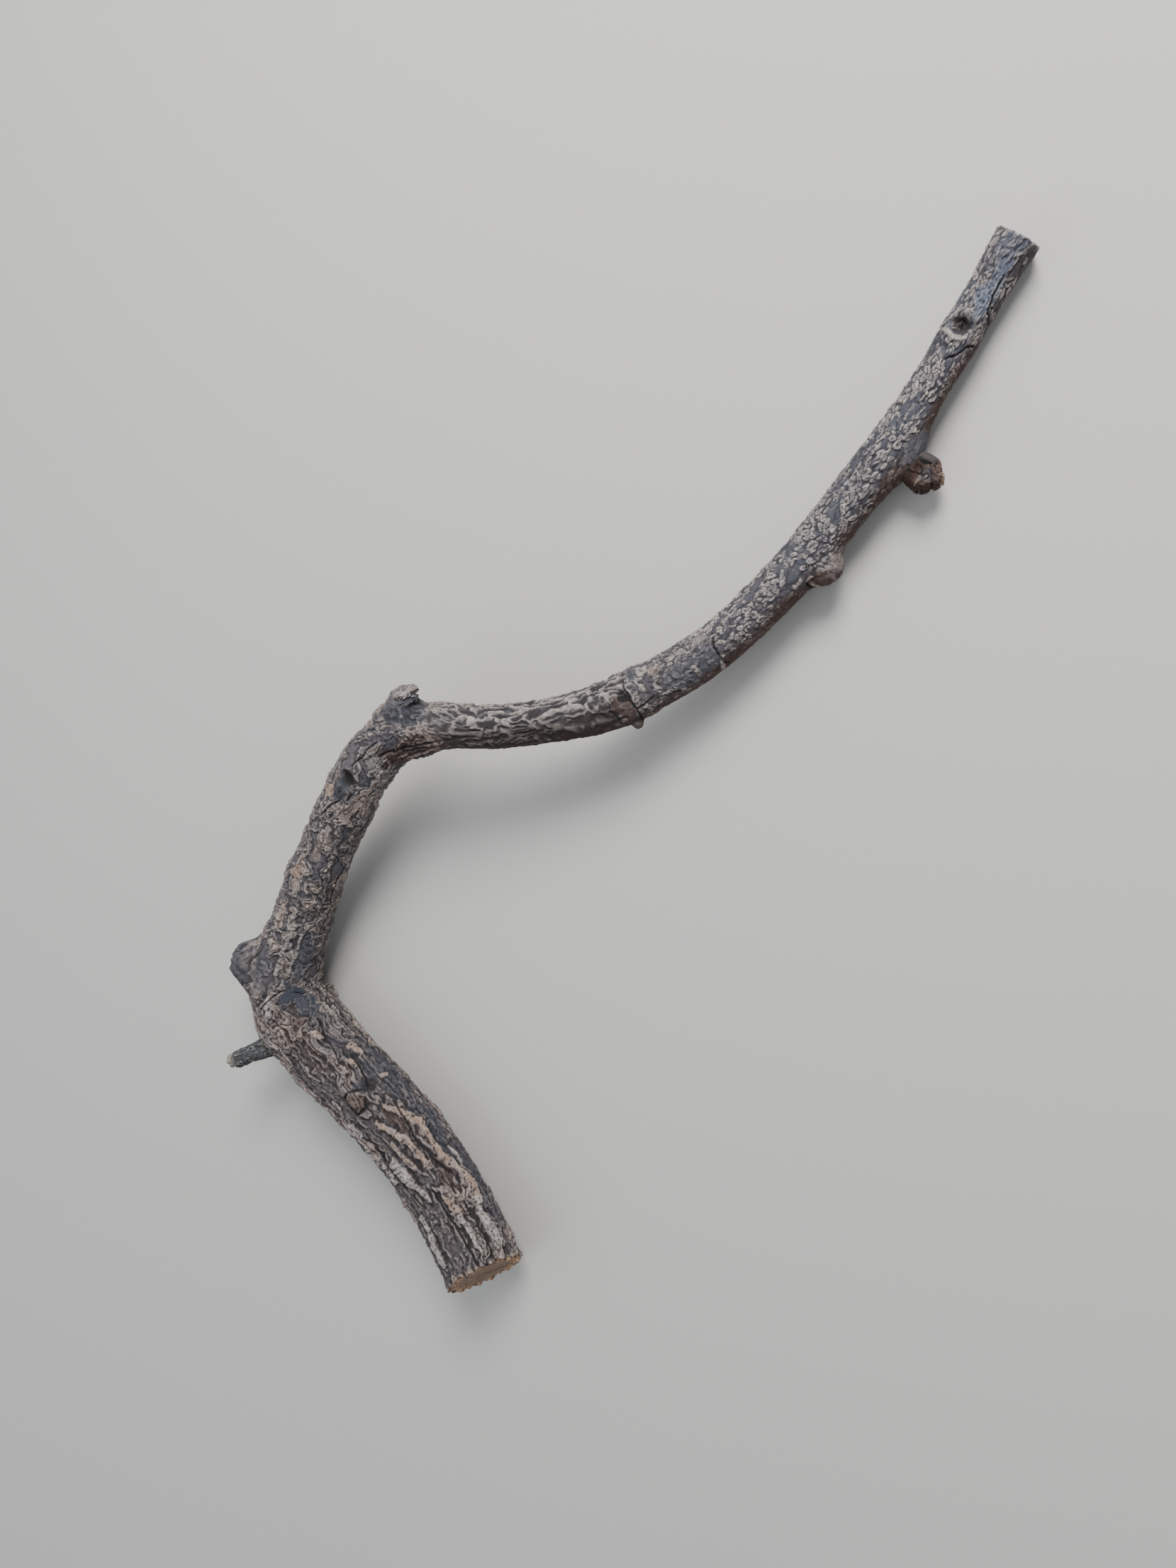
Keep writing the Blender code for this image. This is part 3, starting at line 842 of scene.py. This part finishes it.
def sawn_wood():
    """Weathered end grain: growth rings, dark checks, and an orange crumbly rim of bark."""
    material, tree, shader = new_material("sawn_wood")
    place = attribute(tree, "straight", "Vector")
    grain = place_group(tree, WOOD_GRAIN, Place=place, Scale=1100.0, Stretch=1.0)
    parts = node(tree, "ShaderNodeSeparateXYZ", {0: place})
    across = node(tree, "ShaderNodeCombineXYZ",
                  {"X": parts.outputs["Y"], "Y": parts.outputs["Z"]})
    rings = node(tree, "ShaderNodeTexWave", {
        "Vector": across.outputs[0], "Scale": 190.0, "Distortion": 2.2, "Detail": 3.0,
        "Detail Scale": 1.2,
    }, wave_type="RINGS", rings_direction="Z")
    late_wood, early_wood = (0.17, 0.110, 0.078, 1), (0.36, 0.245, 0.17, 1)
    wood = mixed(tree, eased(tree, rings.outputs["Fac"], 0.15, 0.75), late_wood, early_wood)
    stain = eased(tree, grain.outputs["Stains"], 0.42, 0.62, 0.0, 0.6)
    wood = mixed(tree, stain, wood, (0.11, 0.072, 0.055, 1))
    rim = eased(tree, attribute(tree, "sawn"), 0.32, 0.20)
    dark_cork, orange_cork = (0.16, 0.090, 0.058, 1), (0.66, 0.42, 0.27, 1)
    crumbs = eased(tree, grain.outputs["Height"], 0.40, 0.60)
    cork = mixed(tree, crumbs, dark_cork, orange_cork)
    feed(tree, shader.inputs["Base Color"], mixed(tree, rim, wood, cork))
    shader.inputs["Roughness"].default_value = 0.9
    bumped(tree, shader, grain.outputs["Height"], 0.8, 0.0005)
    return material


furrowed_bark = bark_material("furrowed_bark", BARK_COLOURS, rim_amount=0.55, dirt_and_shade_amount=0.8,
                              scale=1100.0, stretch=2.4, bump=0.0006)
end_grain = sawn_wood()
butt_bark = limb_skin("butt_limb_bark", BUTT_CUT, LOWER_ELBOW + OVERLAP, sides=256, rows=388,
                      start_cap=28, end_cap=4, sawn_start=True)
show_sawn_wood(butt_bark, furrowed_bark, end_grain)
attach(butt_bark, "root")
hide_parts("butt_limb")

# Middle limb
# The side shoot that took over at the lower elbow: thinner wood under bark that has
# broken into small layered plates, with a hollow knot and a torn stub at its end.

lumps += [
    # hollow knot, with its rim
    Lump(428, 6, 11, 10, 2.4, 3),
    Lump(428, 6, 5, 5, -3.8, 3),
    # shoulder that carries the torn stub, outside the upper elbow
    Lump(480, -66, 6.5, 8, 6.5, 3),
    Lump(471, -62, 9, 9, 5.5, 3),
    # fold of bark in the crotch of the upper elbow
    Lump(480, 100, 12, 9, 3.5, 2),
]
patches += [
    # smooth ground that the cork has fallen from
    Patch(281, 61, 19, 7, "bloom", 0.7, 0.9),
    Patch(264, -10, 15, 6, "bloom", 0.6, 0.7),
    Patch(386, 52, 14, 4, "bloom", 0.6, 0.6),
    # red-brown strip down the shaded side
    Patch(322, 90, 32, 5, "tan", 0.0, 0.25),
    # worn, creamy plates
    Patch(342, -12, 6, 5, "tan", 0.2, 0.75),
    Patch(364, 11, 9, 3, "tan", 0.1, 0.4),
    Patch(411, -24, 8, 5, "tan", 0.2, 0.8),
    Patch(445, 70, 15, 3.5, "pale", 0.1, 0.5),
    Patch(450, 32, 6, 5, "pale", 0.1, 0.45),
    # hollow knot, the dark bark over it, and painted shade in its hollow
    Patch(419, -2, 6, 5, "slate", 0.5, 0.9),
    Patch(429, 7, 4.2, 4, "black", 0.4, 0.95),
    # fibrous crotch, smooth dark bark under the torn stub, and the stub's plates
    Patch(478, 58, 24, 13, "brown", 0.0, 0.85),
    Patch(477, -36, 6, 6, "slate", 0.5, 0.9),
    Patch(468, 10, 7, 6, "slate", 0.3, 0.6),
    Patch(474, -50, 3, 3, "tan", 0.0, 0.7),
    Patch(486, -38, 5, 8, "slate", -0.6, 0.8),
]
cracks += [
    Crack([(300, 76), (318, 82), (338, 80), (356, 86)], 0.9, 1.1),
    Crack([(262, -30), (280, -24), (300, -28)], 0.9, 0.9),
    Crack([(392, -6), (404, 0), (414, 12)], 0.9, 0.9),
    Crack([(436, 0), (446, 8), (460, 4)], 0.9, 1.0),
    Crack([(456, 30), (468, 40), (484, 44), (497, 40)], 0.9, 1.2),
    Crack([(458, 60), (472, 66), (490, 62)], 0.9, 1.2),
    Crack([(462, 76), (476, 82), (492, 76)], 1.0, 1.3),
    Crack([(472, 48), (482, 54), (496, 54)], 0.9, 1.0),
]
crests += [
    # two pale ridges that climb from the lower elbow
    Crest([(262, 16), (276, 20), (292, 22), (304, 26)], 1.7, 0.8, "pale", 0.55),
    Crest([(266, 38), (282, 44), (298, 44)], 1.3, 0.7, "pale", 0.5),
    # orange fibres in the crotch
    Crest([(470, 72), (484, 70), (494, 64)], 1.3, 0.5, "tan", 0.7),
    Crest([(462, 62), (474, 58)], 1.2, 0.5, "tan", 0.5),
]
corky_bark = bark_material("corky_bark", BARK_COLOURS, rim_amount=0.4, dirt_and_shade_amount=0.6,
                           scale=1200.0, stretch=1.6, bump=0.0004)
middle_bark = limb_skin("middle_limb_bark", LOWER_ELBOW - OVERLAP, UPPER_ELBOW + OVERLAP,
                        sides=200, rows=470, start_cap=4, end_cap=4)
middle_bark.data.materials.append(corky_bark)
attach(middle_bark, "root")
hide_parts("middle_limb")

# Torn stub
# What is left of the old leader outside the upper elbow: a crumbled cap of cork over
# dark wood, both grown out of the shoulder of the limb.

BALL_STEPS = 6
STUB_ALONG = np.array((0.969, 0.246, 0.0))
STUB_OUT = np.array((-0.230, 0.906, 0.355))
# Each lobe: its middle, half sizes along, out and aside, how rough it is, and its colour mask
STUB_LOBES = [
    ((5.0, 375.0, 65.0), (9.2, 3.9, 7.5), 0.55, "pale"),
    ((6.6, 370.8, 64.4), (7.8, 4.4, 6.6), 0.7, "slate"),
]


def ball_piece(name, bm, parts):
    """A piece from balls: for each, the places of its points in mm, and their masks."""
    places, masks = zip(*parts)
    for vertex, place in zip(bm.verts, in_frame(np.vstack(places))):
        vertex.co = place
    piece = add_piece(name, bm)
    for label in masks[0]:
        mark(piece.data, label, np.concatenate([marked[label] for marked in masks]))
    return piece


def turned_square(way, other):
    """A direction turned square to another, one unit long."""
    way = way - other * (way @ other)
    return way / np.linalg.norm(way)


def stub_lobe(ways, number, half, rough, tone):
    """The points of one lobe along, out and aside from its middle in mm, and their masks."""
    turn = (np.arctan2(ways[:, 2], ways[:, 1]) / math.tau) % 1.0
    steps = ways[:, 0] * half[0]
    broad = 0.9 * swell(steps / 5, turn, 6, 150 + number)
    crumbs = swells(steps, turn, (0.8, 2.2, 16, 160 + number), (0.45, 1.1, 34, 170 + number))
    steep = swell(steps / 4, turn, 11, 180 + number) + 0.3 * crumbs + 0.3
    shelf, lip, gap = terraces(steep, 0.5)
    crumbs = crumbs + 0.6 * shelf - 0.5 * gap
    masks = {label: np.zeros(len(ways)) for label in TONES}
    # Black in the gaps beside each shelf is a painted shadow line, and on the pale cap black also
    # darkens its underside as painted shade.
    if tone == "slate":
        masks.update(pale=0.3 * lip, slate=np.full(len(ways), 0.7), black=0.5 * gap)
    else:
        under = share(ways[:, 1], -0.15, -0.6)
        masks.update(pale=0.22 + 0.5 * lip, tan=0.30 * share(broad, 0.0, 0.5),
                     black=0.6 * gap + 0.6 * under)
    masks["edge"] = np.clip(crumbs * 0.8, -1, 1)
    masks["relief"] = np.clip(crumbs * 0.7 + 0.4 * broad, -1, 1)
    spread = ways * np.array(half) + (rough * (broad + crumbs))[:, None] * ways
    masks["straight"] = spread * MM
    return spread, masks


def stub_skin(name):
    """The lobes of the torn stub, each closed, with their colour masks."""
    out = turned_square(STUB_OUT, STUB_ALONG)
    along_out_aside = np.stack([STUB_ALONG, out, np.cross(STUB_ALONG, out)])
    bm = bmesh.new()
    for _ in STUB_LOBES:
        bmesh.ops.create_icosphere(bm, subdivisions=BALL_STEPS, radius=1.0)
    balls = np.array([vertex.co for vertex in bm.verts]).reshape(len(STUB_LOBES), -1, 3)
    parts = []
    for number, (ways, (middle, *lobe)) in enumerate(zip(balls, STUB_LOBES)):
        spread, masks = stub_lobe(ways, number, *lobe)
        parts.append((np.array(middle) + spread @ along_out_aside, masks))
    return ball_piece(name, bm, parts)


torn_stub = stub_skin("torn_stub_bark")
torn_stub.data.materials.append(corky_bark)
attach(torn_stub, "root")

# Upper limb
# The long thin limb: nodules of pale cork on smooth blue-grey bark, with a ring where an
# outer sheath ends, a healed side shoot, a knot hole and a sawn tip.

lumps += [
    # bark ring and burst lip where the outer sheath ends
    Lump(617, 0, 5, 90, 0.9, 4),
    Lump(607, -95, 5, 60, 0.6, 4),
    Lump(608, 90, 2.8, 4.2, 3.6, 4),
    Lump(609, -7, 2.5, 2.8, -3.2, 4),
    # healed side shoot
    Lump(732, 92, 9, 8, 7.5, 3),
    Lump(738, 44, 8, 6, 0.9, 2),
    # collar that carries the snapped side branch
    Lump(796, 96, 13, 9, 3.0, 3),
    # knot hole near the tip, with a raised rim
    Lump(857, 2, 9, 10, 1.4, 3),
    Lump(857, 2, 4.3, 5.4, -5.5, 4),
]
patches += [
    # where the outer sheath has burst
    Patch(493, 55, 4, 9, "tan", 0.2, 0.45),
    Patch(606, 30, 4, 13, "brown", 0.8, 0.8),
    # painted shade in the small hole where the sheath burst
    Patch(609, -7, 2.3, 2.6, "black", 0.3, 1.0),
    Patch(617, -48, 3, 5, "slate", 0.7, 0.9),
    Patch(624, -42, 4, 4, "pale", 0.1, 0.6),
    Patch(632, -25, 4, 3, "tan", 0.1, 0.5),
    Patch(647, -32, 5, 3, "pale", 0.0, 0.45),
    Patch(660, -27, 5, 4, "pale", 0.0, 0.4),
    # darker bark
    Patch(650, 20, 17, 8, "bloom", 0.4, 0.8),
    Patch(725, -47, 4, 4, "slate", 0.5, 0.9),
    Patch(785, -50, 6, 4, "slate", 0.5, 0.8),
    Patch(842, -40, 8, 3, "slate", 0.5, 0.8),
    # the healed shoot, torn and orange beneath
    Patch(725, 80, 5, 9, "brown", 0.0, 0.95),
    Patch(739, 78, 8, 7, "pale", -0.5, 0.25),
    # smooth bark on the collar of the snapped branch
    Patch(800, 78, 9, 7, "bloom", 0.7, 0.85),
    Patch(814, 90, 5, 4, "brown", 0.6, 0.7),
    # knot hole, painted dark as shade, and the blue streak beyond it
    Patch(857, 2, 3.5, 4.6, "black", 0.4, 1.0),
    Patch(876, 28, 17, 5.0, "blue", 0.2, 0.85),
    Patch(894, 14, 6, 7, "blue", 0.0, 0.3),
]
cracks += [
    Crack([(601, -5), (600, 30), (601, 66)], 0.6, 0.5),
    Crack([(611.5, -44), (611, 10), (612, 80)], 0.9, 0.9),
    Crack([(612, 37), (624, 36)], 0.7, 0.9),
    Crack([(628, 47), (637, 52)], 0.6, 0.8),
    Crack([(668, -4), (665, 15), (664, 32), (663, 55), (665, 76)], 0.8, 1.0),
    Crack([(721, 58), (722, 82), (724, 104)], 1.2, 1.2),
    Crack([(840, 16), (845, 38), (850, 52), (853, 74)], 0.8, 1.1),
    Crack([(864, 82), (866, 60), (874, 44), (884, 40)], 0.8, 1.2),
]
crests += [
    Crest([(662, 54), (661, 76)], 1.4, 0.5, "pale", 0.7),
    Crest([(723, 62), (724, 92)], 1.2, 0.4, "tan", 0.7),
    Crest([(629, 10), (629, 30)], 1.2, 0.4, "pale", 0.6),
    Crest([(650, 20), (650, 40)], 1.2, 0.4, "pale", 0.6),
    Crest([(851, -24), (850, 4), (852, 30)], 1.8, 0.6, "pale", 0.7),
    # loose fibres in the knot hole
    Crest([(855, -16), (858, -4)], 0.8, 0.6, "tan", 0.5),
    Crest([(858, 8), (855, 20)], 0.7, 0.5, "brown", 0.9),
]
upper_bark = limb_skin("upper_limb_bark", UPPER_ELBOW - OVERLAP, BRANCH_LENGTH, sides=136,
                       rows=720, start_cap=4, end_cap=14, sawn_end=True)
show_sawn_wood(upper_bark, corky_bark, end_grain)
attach(upper_bark, "root")
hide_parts("upper_limb")

# Side twig
# A dead twig under the lower elbow: thin blue-grey bark that dried onto its wood.
# It was snapped off, so pale splinters stand out past the broken edge of the bark.

TWIG_ROOT = np.array((-132.0, 146.0, 33.2))
TWIG_TIP = np.array((-181.8, 127.3, 44.6))
TWIG_RADIUS = 5.75
TWIG_BOW = 1.6
# Where a low collar runs round the twig, and the share of the twig that still has bark
TWIG_COLLAR = 24.0
TWIG_BARK_END = 0.90


def twig_skin(name, rows, sides, root_cap, end_cap):
    """The closed skin of the twig, bark and bare end together, with its colour masks."""
    _, reach, along, clock = skin_grid(rows, sides, root_cap, end_cap)
    turn = clock / math.tau
    length = np.linalg.norm(TWIG_TIP - TWIG_ROOT)
    forward = (TWIG_TIP - TWIG_ROOT) / length
    up, right = square_to(forward)

    splinter = 1.6 * swell(0.5 + 2 * reach, turn, 9, 120)
    splinter = splinter + 1.2 * swell(0.5 + 3 * reach, turn, 26, 121)
    distance = along * length + splinter * share(along, TWIG_BARK_END, 1)
    broken_edge = TWIG_BARK_END + 0.022 * swell(0.5, turn, 7, 122)
    bare = share(along, broken_edge - 0.004, broken_edge + 0.004)
    wrinkles = swells(distance, turn, (0.40, 8, 7, 123), (0.38, 3.0, 16, 124), (0.20, 1.3, 36, 125))
    peeled, lip, gap = terraces(swells(distance, turn, (1, 9, 10, 126), (0.4, 3, 22, 127)), 0.5)
    torn = 0.5 * swell(distance / 8, turn, 26, 128) - 0.9
    collar = 0.9 * np.exp(-((distance - TWIG_COLLAR) / 7) ** 2)
    height = (1 - bare) * (wrinkles + 0.3 * peeled - 0.2 * gap + collar) + bare * torn
    radius = TWIG_RADIUS * (1.06 - 0.10 * along) + height
    bow = TWIG_BOW * np.sin(math.pi * along)
    axis = TWIG_ROOT + distance[..., None] * forward + bow[..., None] * np.array((0, 0, 1.0))
    ahead, aside = reach * radius * np.cos(clock), reach * radius * np.sin(clock)
    places = axis + ahead[..., None] * up + aside[..., None] * right

    masks = worn_masks(height, length / rows, math.tau * TWIG_RADIUS / sides)
    masks.update({tone: np.zeros(height.shape) for tone in TONES})
    masks["pale"] = (1 - bare) * 0.7 * lip
    # Black in the gap beside each peeling layer is a painted shadow line.
    masks["black"] = (1 - bare) * 0.7 * gap
    masks["bloom"] = (1 - bare) * share(swell(distance / 6, turn, 5, 129), -0.5, 0.6)
    masks["tan"] = bare
    masks["straight"] = np.stack([distance, ahead, aside], -1) * MM
    return shaped_piece(name, places, masks)


TWIG_COLOURS = {
    **BARK_COLOURS,
    "Ground": (0.036, 0.037, 0.040, 1), "Ground_Light": (0.12, 0.12, 0.12, 1),
    "Rim": (0.24, 0.23, 0.21, 1), "Pale": (0.32, 0.31, 0.27, 1), "Tan": (0.33, 0.285, 0.235, 1),
    "Slate": (0.052, 0.060, 0.080, 1), "Brown": (0.062, 0.042, 0.036, 1),
    "Bloom": (0.085, 0.094, 0.105, 1),
}
twig_bark = bark_material("twig_bark", TWIG_COLOURS, rim_amount=0.45, dirt_and_shade_amount=0.8,
                          scale=1500.0, stretch=3.0, bump=0.0003)
twig = twig_skin("side_twig_bark", rows=190, sides=96, root_cap=3, end_cap=16)
twig.data.materials.append(twig_bark)
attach(twig, "root")
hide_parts("side_twig")

# Snapped side branch
# The stub of a side branch near the tip: wood broken along flat faces, weathered dark brown,
# with a slab of bark still lying over it and one fresher, orange splintered corner.

SNAG_ROOT = np.array((280.0, 475.0, 14.0))
SNAG_END = np.array((300.0, 459.0, 12.0))
# Half sizes right, up and forward, and how square the stub is between them
SNAG_HALF = (9.5, 8.2, 16.8)
SNAG_SQUARE = 16
# Flat faces that the break left: the way they face, and how far they are from the middle
SNAG_BREAKS = [
    ((0.80, -0.55, 0.25), 7.4), ((0.25, -0.90, 0.40), 6.2), ((0.85, 0.30, 0.45), 6.0),
    ((0.20, 0.15, 0.97), 5.6), ((0.30, -0.60, -0.74), 6.0), ((0.90, 0.05, -0.42), 7.0),
]
# The cleft between the two lobes of the break: a place in it, and the way it faces
CLEFT_PLACE, CLEFT_FACES = np.array((292.0, 467.5, 15.0)), np.array((0.93, 0.05, -0.36))
# The slab of bark: its middle, half sizes, how far round it the wood is sunken and painted dark as
# the slab's shadow, the way it leans, and the way its thickness goes
SLAB_MIDDLE, SLAB_HALF, SLAB_BED = np.array((290.6, 476.0, 14.5)), (5.0, 3.0, 1.1), 5.5
SLAB_LEAN, SLAB_THICK = np.array((0.80, -0.45, -0.30)), np.array((0.30, 0.80, 0.52))
# A grey weathered patch on the face that looks up, and the way the splintered corner faces
GREY_PLACE, GREY_HALF = np.array((290.6, 467.4, 20.3)), 4.6
SPLINTERS_FACE = np.array((0.86, -0.12, -0.5))


def rounded_break(ways, forward, right, up):
    """How far the broken stub reaches from its middle in each direction, in mm."""
    across = np.stack([ways @ right, ways @ up, ways @ forward], -1) / SNAG_HALF
    tight = np.linalg.norm(across, axis=-1) ** SNAG_SQUARE
    for faces, depth in SNAG_BREAKS:
        faces = np.array(faces) / np.linalg.norm(faces)
        tight = tight + np.maximum(ways @ faces / depth, 0) ** SNAG_SQUARE
    return tight ** (-1 / SNAG_SQUARE)


def broken_stub(ways):
    """The broken wood, from the points of a ball: places in mm, and masks."""
    run = SNAG_END - SNAG_ROOT
    forward = run / np.linalg.norm(run)
    up, right = square_to(forward)
    middle = SNAG_ROOT + run * 0.52
    from_middle = rounded_break(ways, forward, right, up)[:, None] * ways
    along, aside, above = from_middle @ forward, from_middle @ right, from_middle @ up
    places = middle + from_middle
    turn = (np.arctan2(aside, above) / math.tau) % 1.0
    fibres = swells(along, turn, (0.5, 7, 34, 140), (0.3, 3, 60, 141), (0.25, 1.4, 24, 142))
    steep = swells(along, turn, (1, 6, 7, 143), (0.5, 2.4, 16, 144)) + 0.2
    shelf, lip, gap = terraces(steep, 0.5)
    cleft = np.abs((places - CLEFT_PLACE) @ CLEFT_FACES / np.linalg.norm(CLEFT_FACES))
    cleft = share(cleft + 0.3 * fibres, 1.3, 0.2) * share(along, -6, 0)
    under_slab = np.linalg.norm((places - SLAB_MIDDLE) / SLAB_BED, axis=-1)
    height = 0.8 * fibres + 0.4 * shelf - 0.3 * gap - cleft - 2.2 * share(under_slab, 1.0, 0.6)

    grey = np.linalg.norm(places - GREY_PLACE, axis=-1) / GREY_HALF + 0.25 * fibres
    below = share(from_middle[:, 1] + 0.35 * from_middle[:, 0], -1.0, -6.0)
    base = share(along, -1.5, -5.0)
    masks = {tone: np.zeros(len(ways)) for tone in TONES}
    masks["edge"] = np.clip(fibres * 0.7, -1, 1)
    masks["relief"] = np.clip(fibres + 0.5 * lip - gap, -1, 1)
    masks["tan"] = share(from_middle @ SPLINTERS_FACE, 4.6, 6.2)
    masks["pale"] = 0.5 * lip * (1 - base)
    # Brown at the base, and on the side away from the key lamp as painted shade.
    masks["brown"] = np.maximum(base, 0.8 * below)
    masks["bloom"] = 0.8 * share(grey, 1.2, 0.7)
    # Black in the cleft, and round the slab as its painted shadow.
    masks["black"] = np.maximum(0.5 * cleft, 0.95 * share(under_slab, 1.0, 0.8))
    masks["straight"] = np.stack([along, aside, above], -1) * MM
    return places + height[:, None] * ways, masks


def bark_slab(ways):
    """The slab of bark that lies over the break, from the points of a ball."""
    lean = SLAB_LEAN / np.linalg.norm(SLAB_LEAN)
    thick = turned_square(SLAB_THICK, lean)
    wide = np.cross(lean, thick)
    square = ways / np.linalg.norm(ways, ord=5, axis=-1, keepdims=True)
    turn = (np.arctan2(ways[:, 1], ways[:, 0]) / math.tau) % 1.0
    chipped = 1 + 0.10 * swell(2 * ways[:, 2], turn, 9, 145)
    chipped = chipped + 0.07 * swell(3 * ways[:, 2], turn, 21, 146)
    flat = square[:, :1] * SLAB_HALF[0] * lean + square[:, 1:2] * SLAB_HALF[1] * wide
    curled = square[:, 2] * SLAB_HALF[2] - 0.9 * square[:, 1] ** 2
    masks = {tone: np.zeros(len(ways)) for tone in TONES}
    # Edge and relief rise over the slab's top and fall beneath it: a painted highlight on top and
    # painted shade under it.
    masks["edge"], masks["relief"] = 0.6 * square[:, 2], 0.5 * square[:, 2]
    masks["pale"], masks["slate"] = 0.35 * (square[:, 1] < -0.8), np.full(len(ways), 0.9)
    masks["straight"] = ways * np.array(SLAB_HALF) * MM
    return SLAB_MIDDLE + flat * chipped[:, None] + curled[:, None] * thick, masks


def snag_skin(name):
    """The broken wood and its slab of bark, each closed, with their colour masks."""
    bm = bmesh.new()
    bmesh.ops.create_icosphere(bm, subdivisions=BALL_STEPS, radius=1.0)
    stub_points = len(bm.verts)
    bmesh.ops.create_icosphere(bm, subdivisions=BALL_STEPS - 1, radius=1.0)
    ways = np.array([vertex.co for vertex in bm.verts])
    return ball_piece(name, bm, [broken_stub(ways[:stub_points]), bark_slab(ways[stub_points:])])


BREAK_COLOURS = {
    **BARK_COLOURS,
    "Ground": (0.046, 0.031, 0.027, 1), "Ground_Light": (0.155, 0.105, 0.090, 1),
    "Rim": (0.20, 0.155, 0.125, 1), "Pale": (0.30, 0.25, 0.21, 1), "Tan": (0.42, 0.27, 0.18, 1),
    "Slate": (0.036, 0.040, 0.048, 1), "Brown": (0.045, 0.025, 0.019, 1),
    "Bloom": (0.075, 0.076, 0.088, 1), "Dirt": (0.010, 0.008, 0.008, 1),
}
broken_wood = bark_material("broken_wood", BREAK_COLOURS, rim_amount=0.5, dirt_and_shade_amount=0.8,
                            scale=1500.0, stretch=3.5, bump=0.0004)
snag = snag_skin("snapped_side_branch_wood")
snag.data.materials.append(broken_wood)
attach(snag, "root")
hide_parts("snapped_side_branch")

# Floor, lights and camera
# A plain pale floor, a soft lamp past the top of the picture and a weaker one at its lower
# left, and the camera, which looks down on the branch.

PICTURE_HEIGHT = 2212
FOCAL_LENGTH = 1662
SENSOR = 36.0
CAMERA_PLACE = Vector((0.32195, 0.12795, 0.616))
CAMERA_RIGHT = Vector((0.8903615, -0.0700734, -0.449829))
CAMERA_UP = Vector((-0.0000367, 0.9880721, -0.1539923))
CAMERA_BACK = Vector((0.4552542, 0.1371253, 0.8797388))

camera_data = bpy.data.cameras.new("camera")
camera_data.sensor_fit = "VERTICAL"
camera_data.sensor_height = SENSOR
camera_data.lens = FOCAL_LENGTH / PICTURE_HEIGHT * SENSOR
camera = bpy.data.objects.new("camera", camera_data)
bpy.context.scene.collection.objects.link(camera)
turn = Matrix((CAMERA_RIGHT, CAMERA_UP, CAMERA_BACK)).transposed().to_4x4()
camera.matrix_world = Matrix.Translation(CAMERA_PLACE) @ turn
bpy.context.scene.camera = camera


def soft_box(name, place, target, size, power, colour):
    light = bpy.data.lights.new(name, "AREA")
    light.size = size
    light.energy = power
    light.color = colour
    lamp = bpy.data.objects.new(name, light)
    bpy.context.scene.collection.objects.link(lamp)
    lamp.location = place
    lamp.rotation_euler = (Vector(target) - Vector(place)).to_track_quat("-Z", "Y").to_euler()


soft_box("key_light", (0.5, 1.3, 1.1), (0, 0, 0), 0.7, 40, (1.0, 0.985, 0.96))
soft_box("fill_light", (-1.1, -0.5, 1.3), (0, 0, 0), 1.4, 8, (0.93, 0.96, 1.0))

world = bpy.data.worlds.new("studio")
world.use_nodes = True
world.node_tree.nodes["Background"].inputs["Color"].default_value = (0.92, 0.95, 1.0, 1)
world.node_tree.nodes["Background"].inputs["Strength"].default_value = 0.42
bpy.context.scene.world = world

floor_mesh = bmesh.new()
bmesh.ops.create_grid(floor_mesh, x_segments=1, y_segments=1, size=4.0)
bmesh.ops.translate(floor_mesh, verts=floor_mesh.verts, vec=(0, 0, -0.0005))
floor = add_piece("studio_floor", floor_mesh)
floor_material, _, floor_shader = new_material("pale_floor")
floor_shader.inputs["Base Color"].default_value = (0.62, 0.61, 0.59, 1)
floor_shader.inputs["Roughness"].default_value = 0.9
floor.data.materials.append(floor_material)
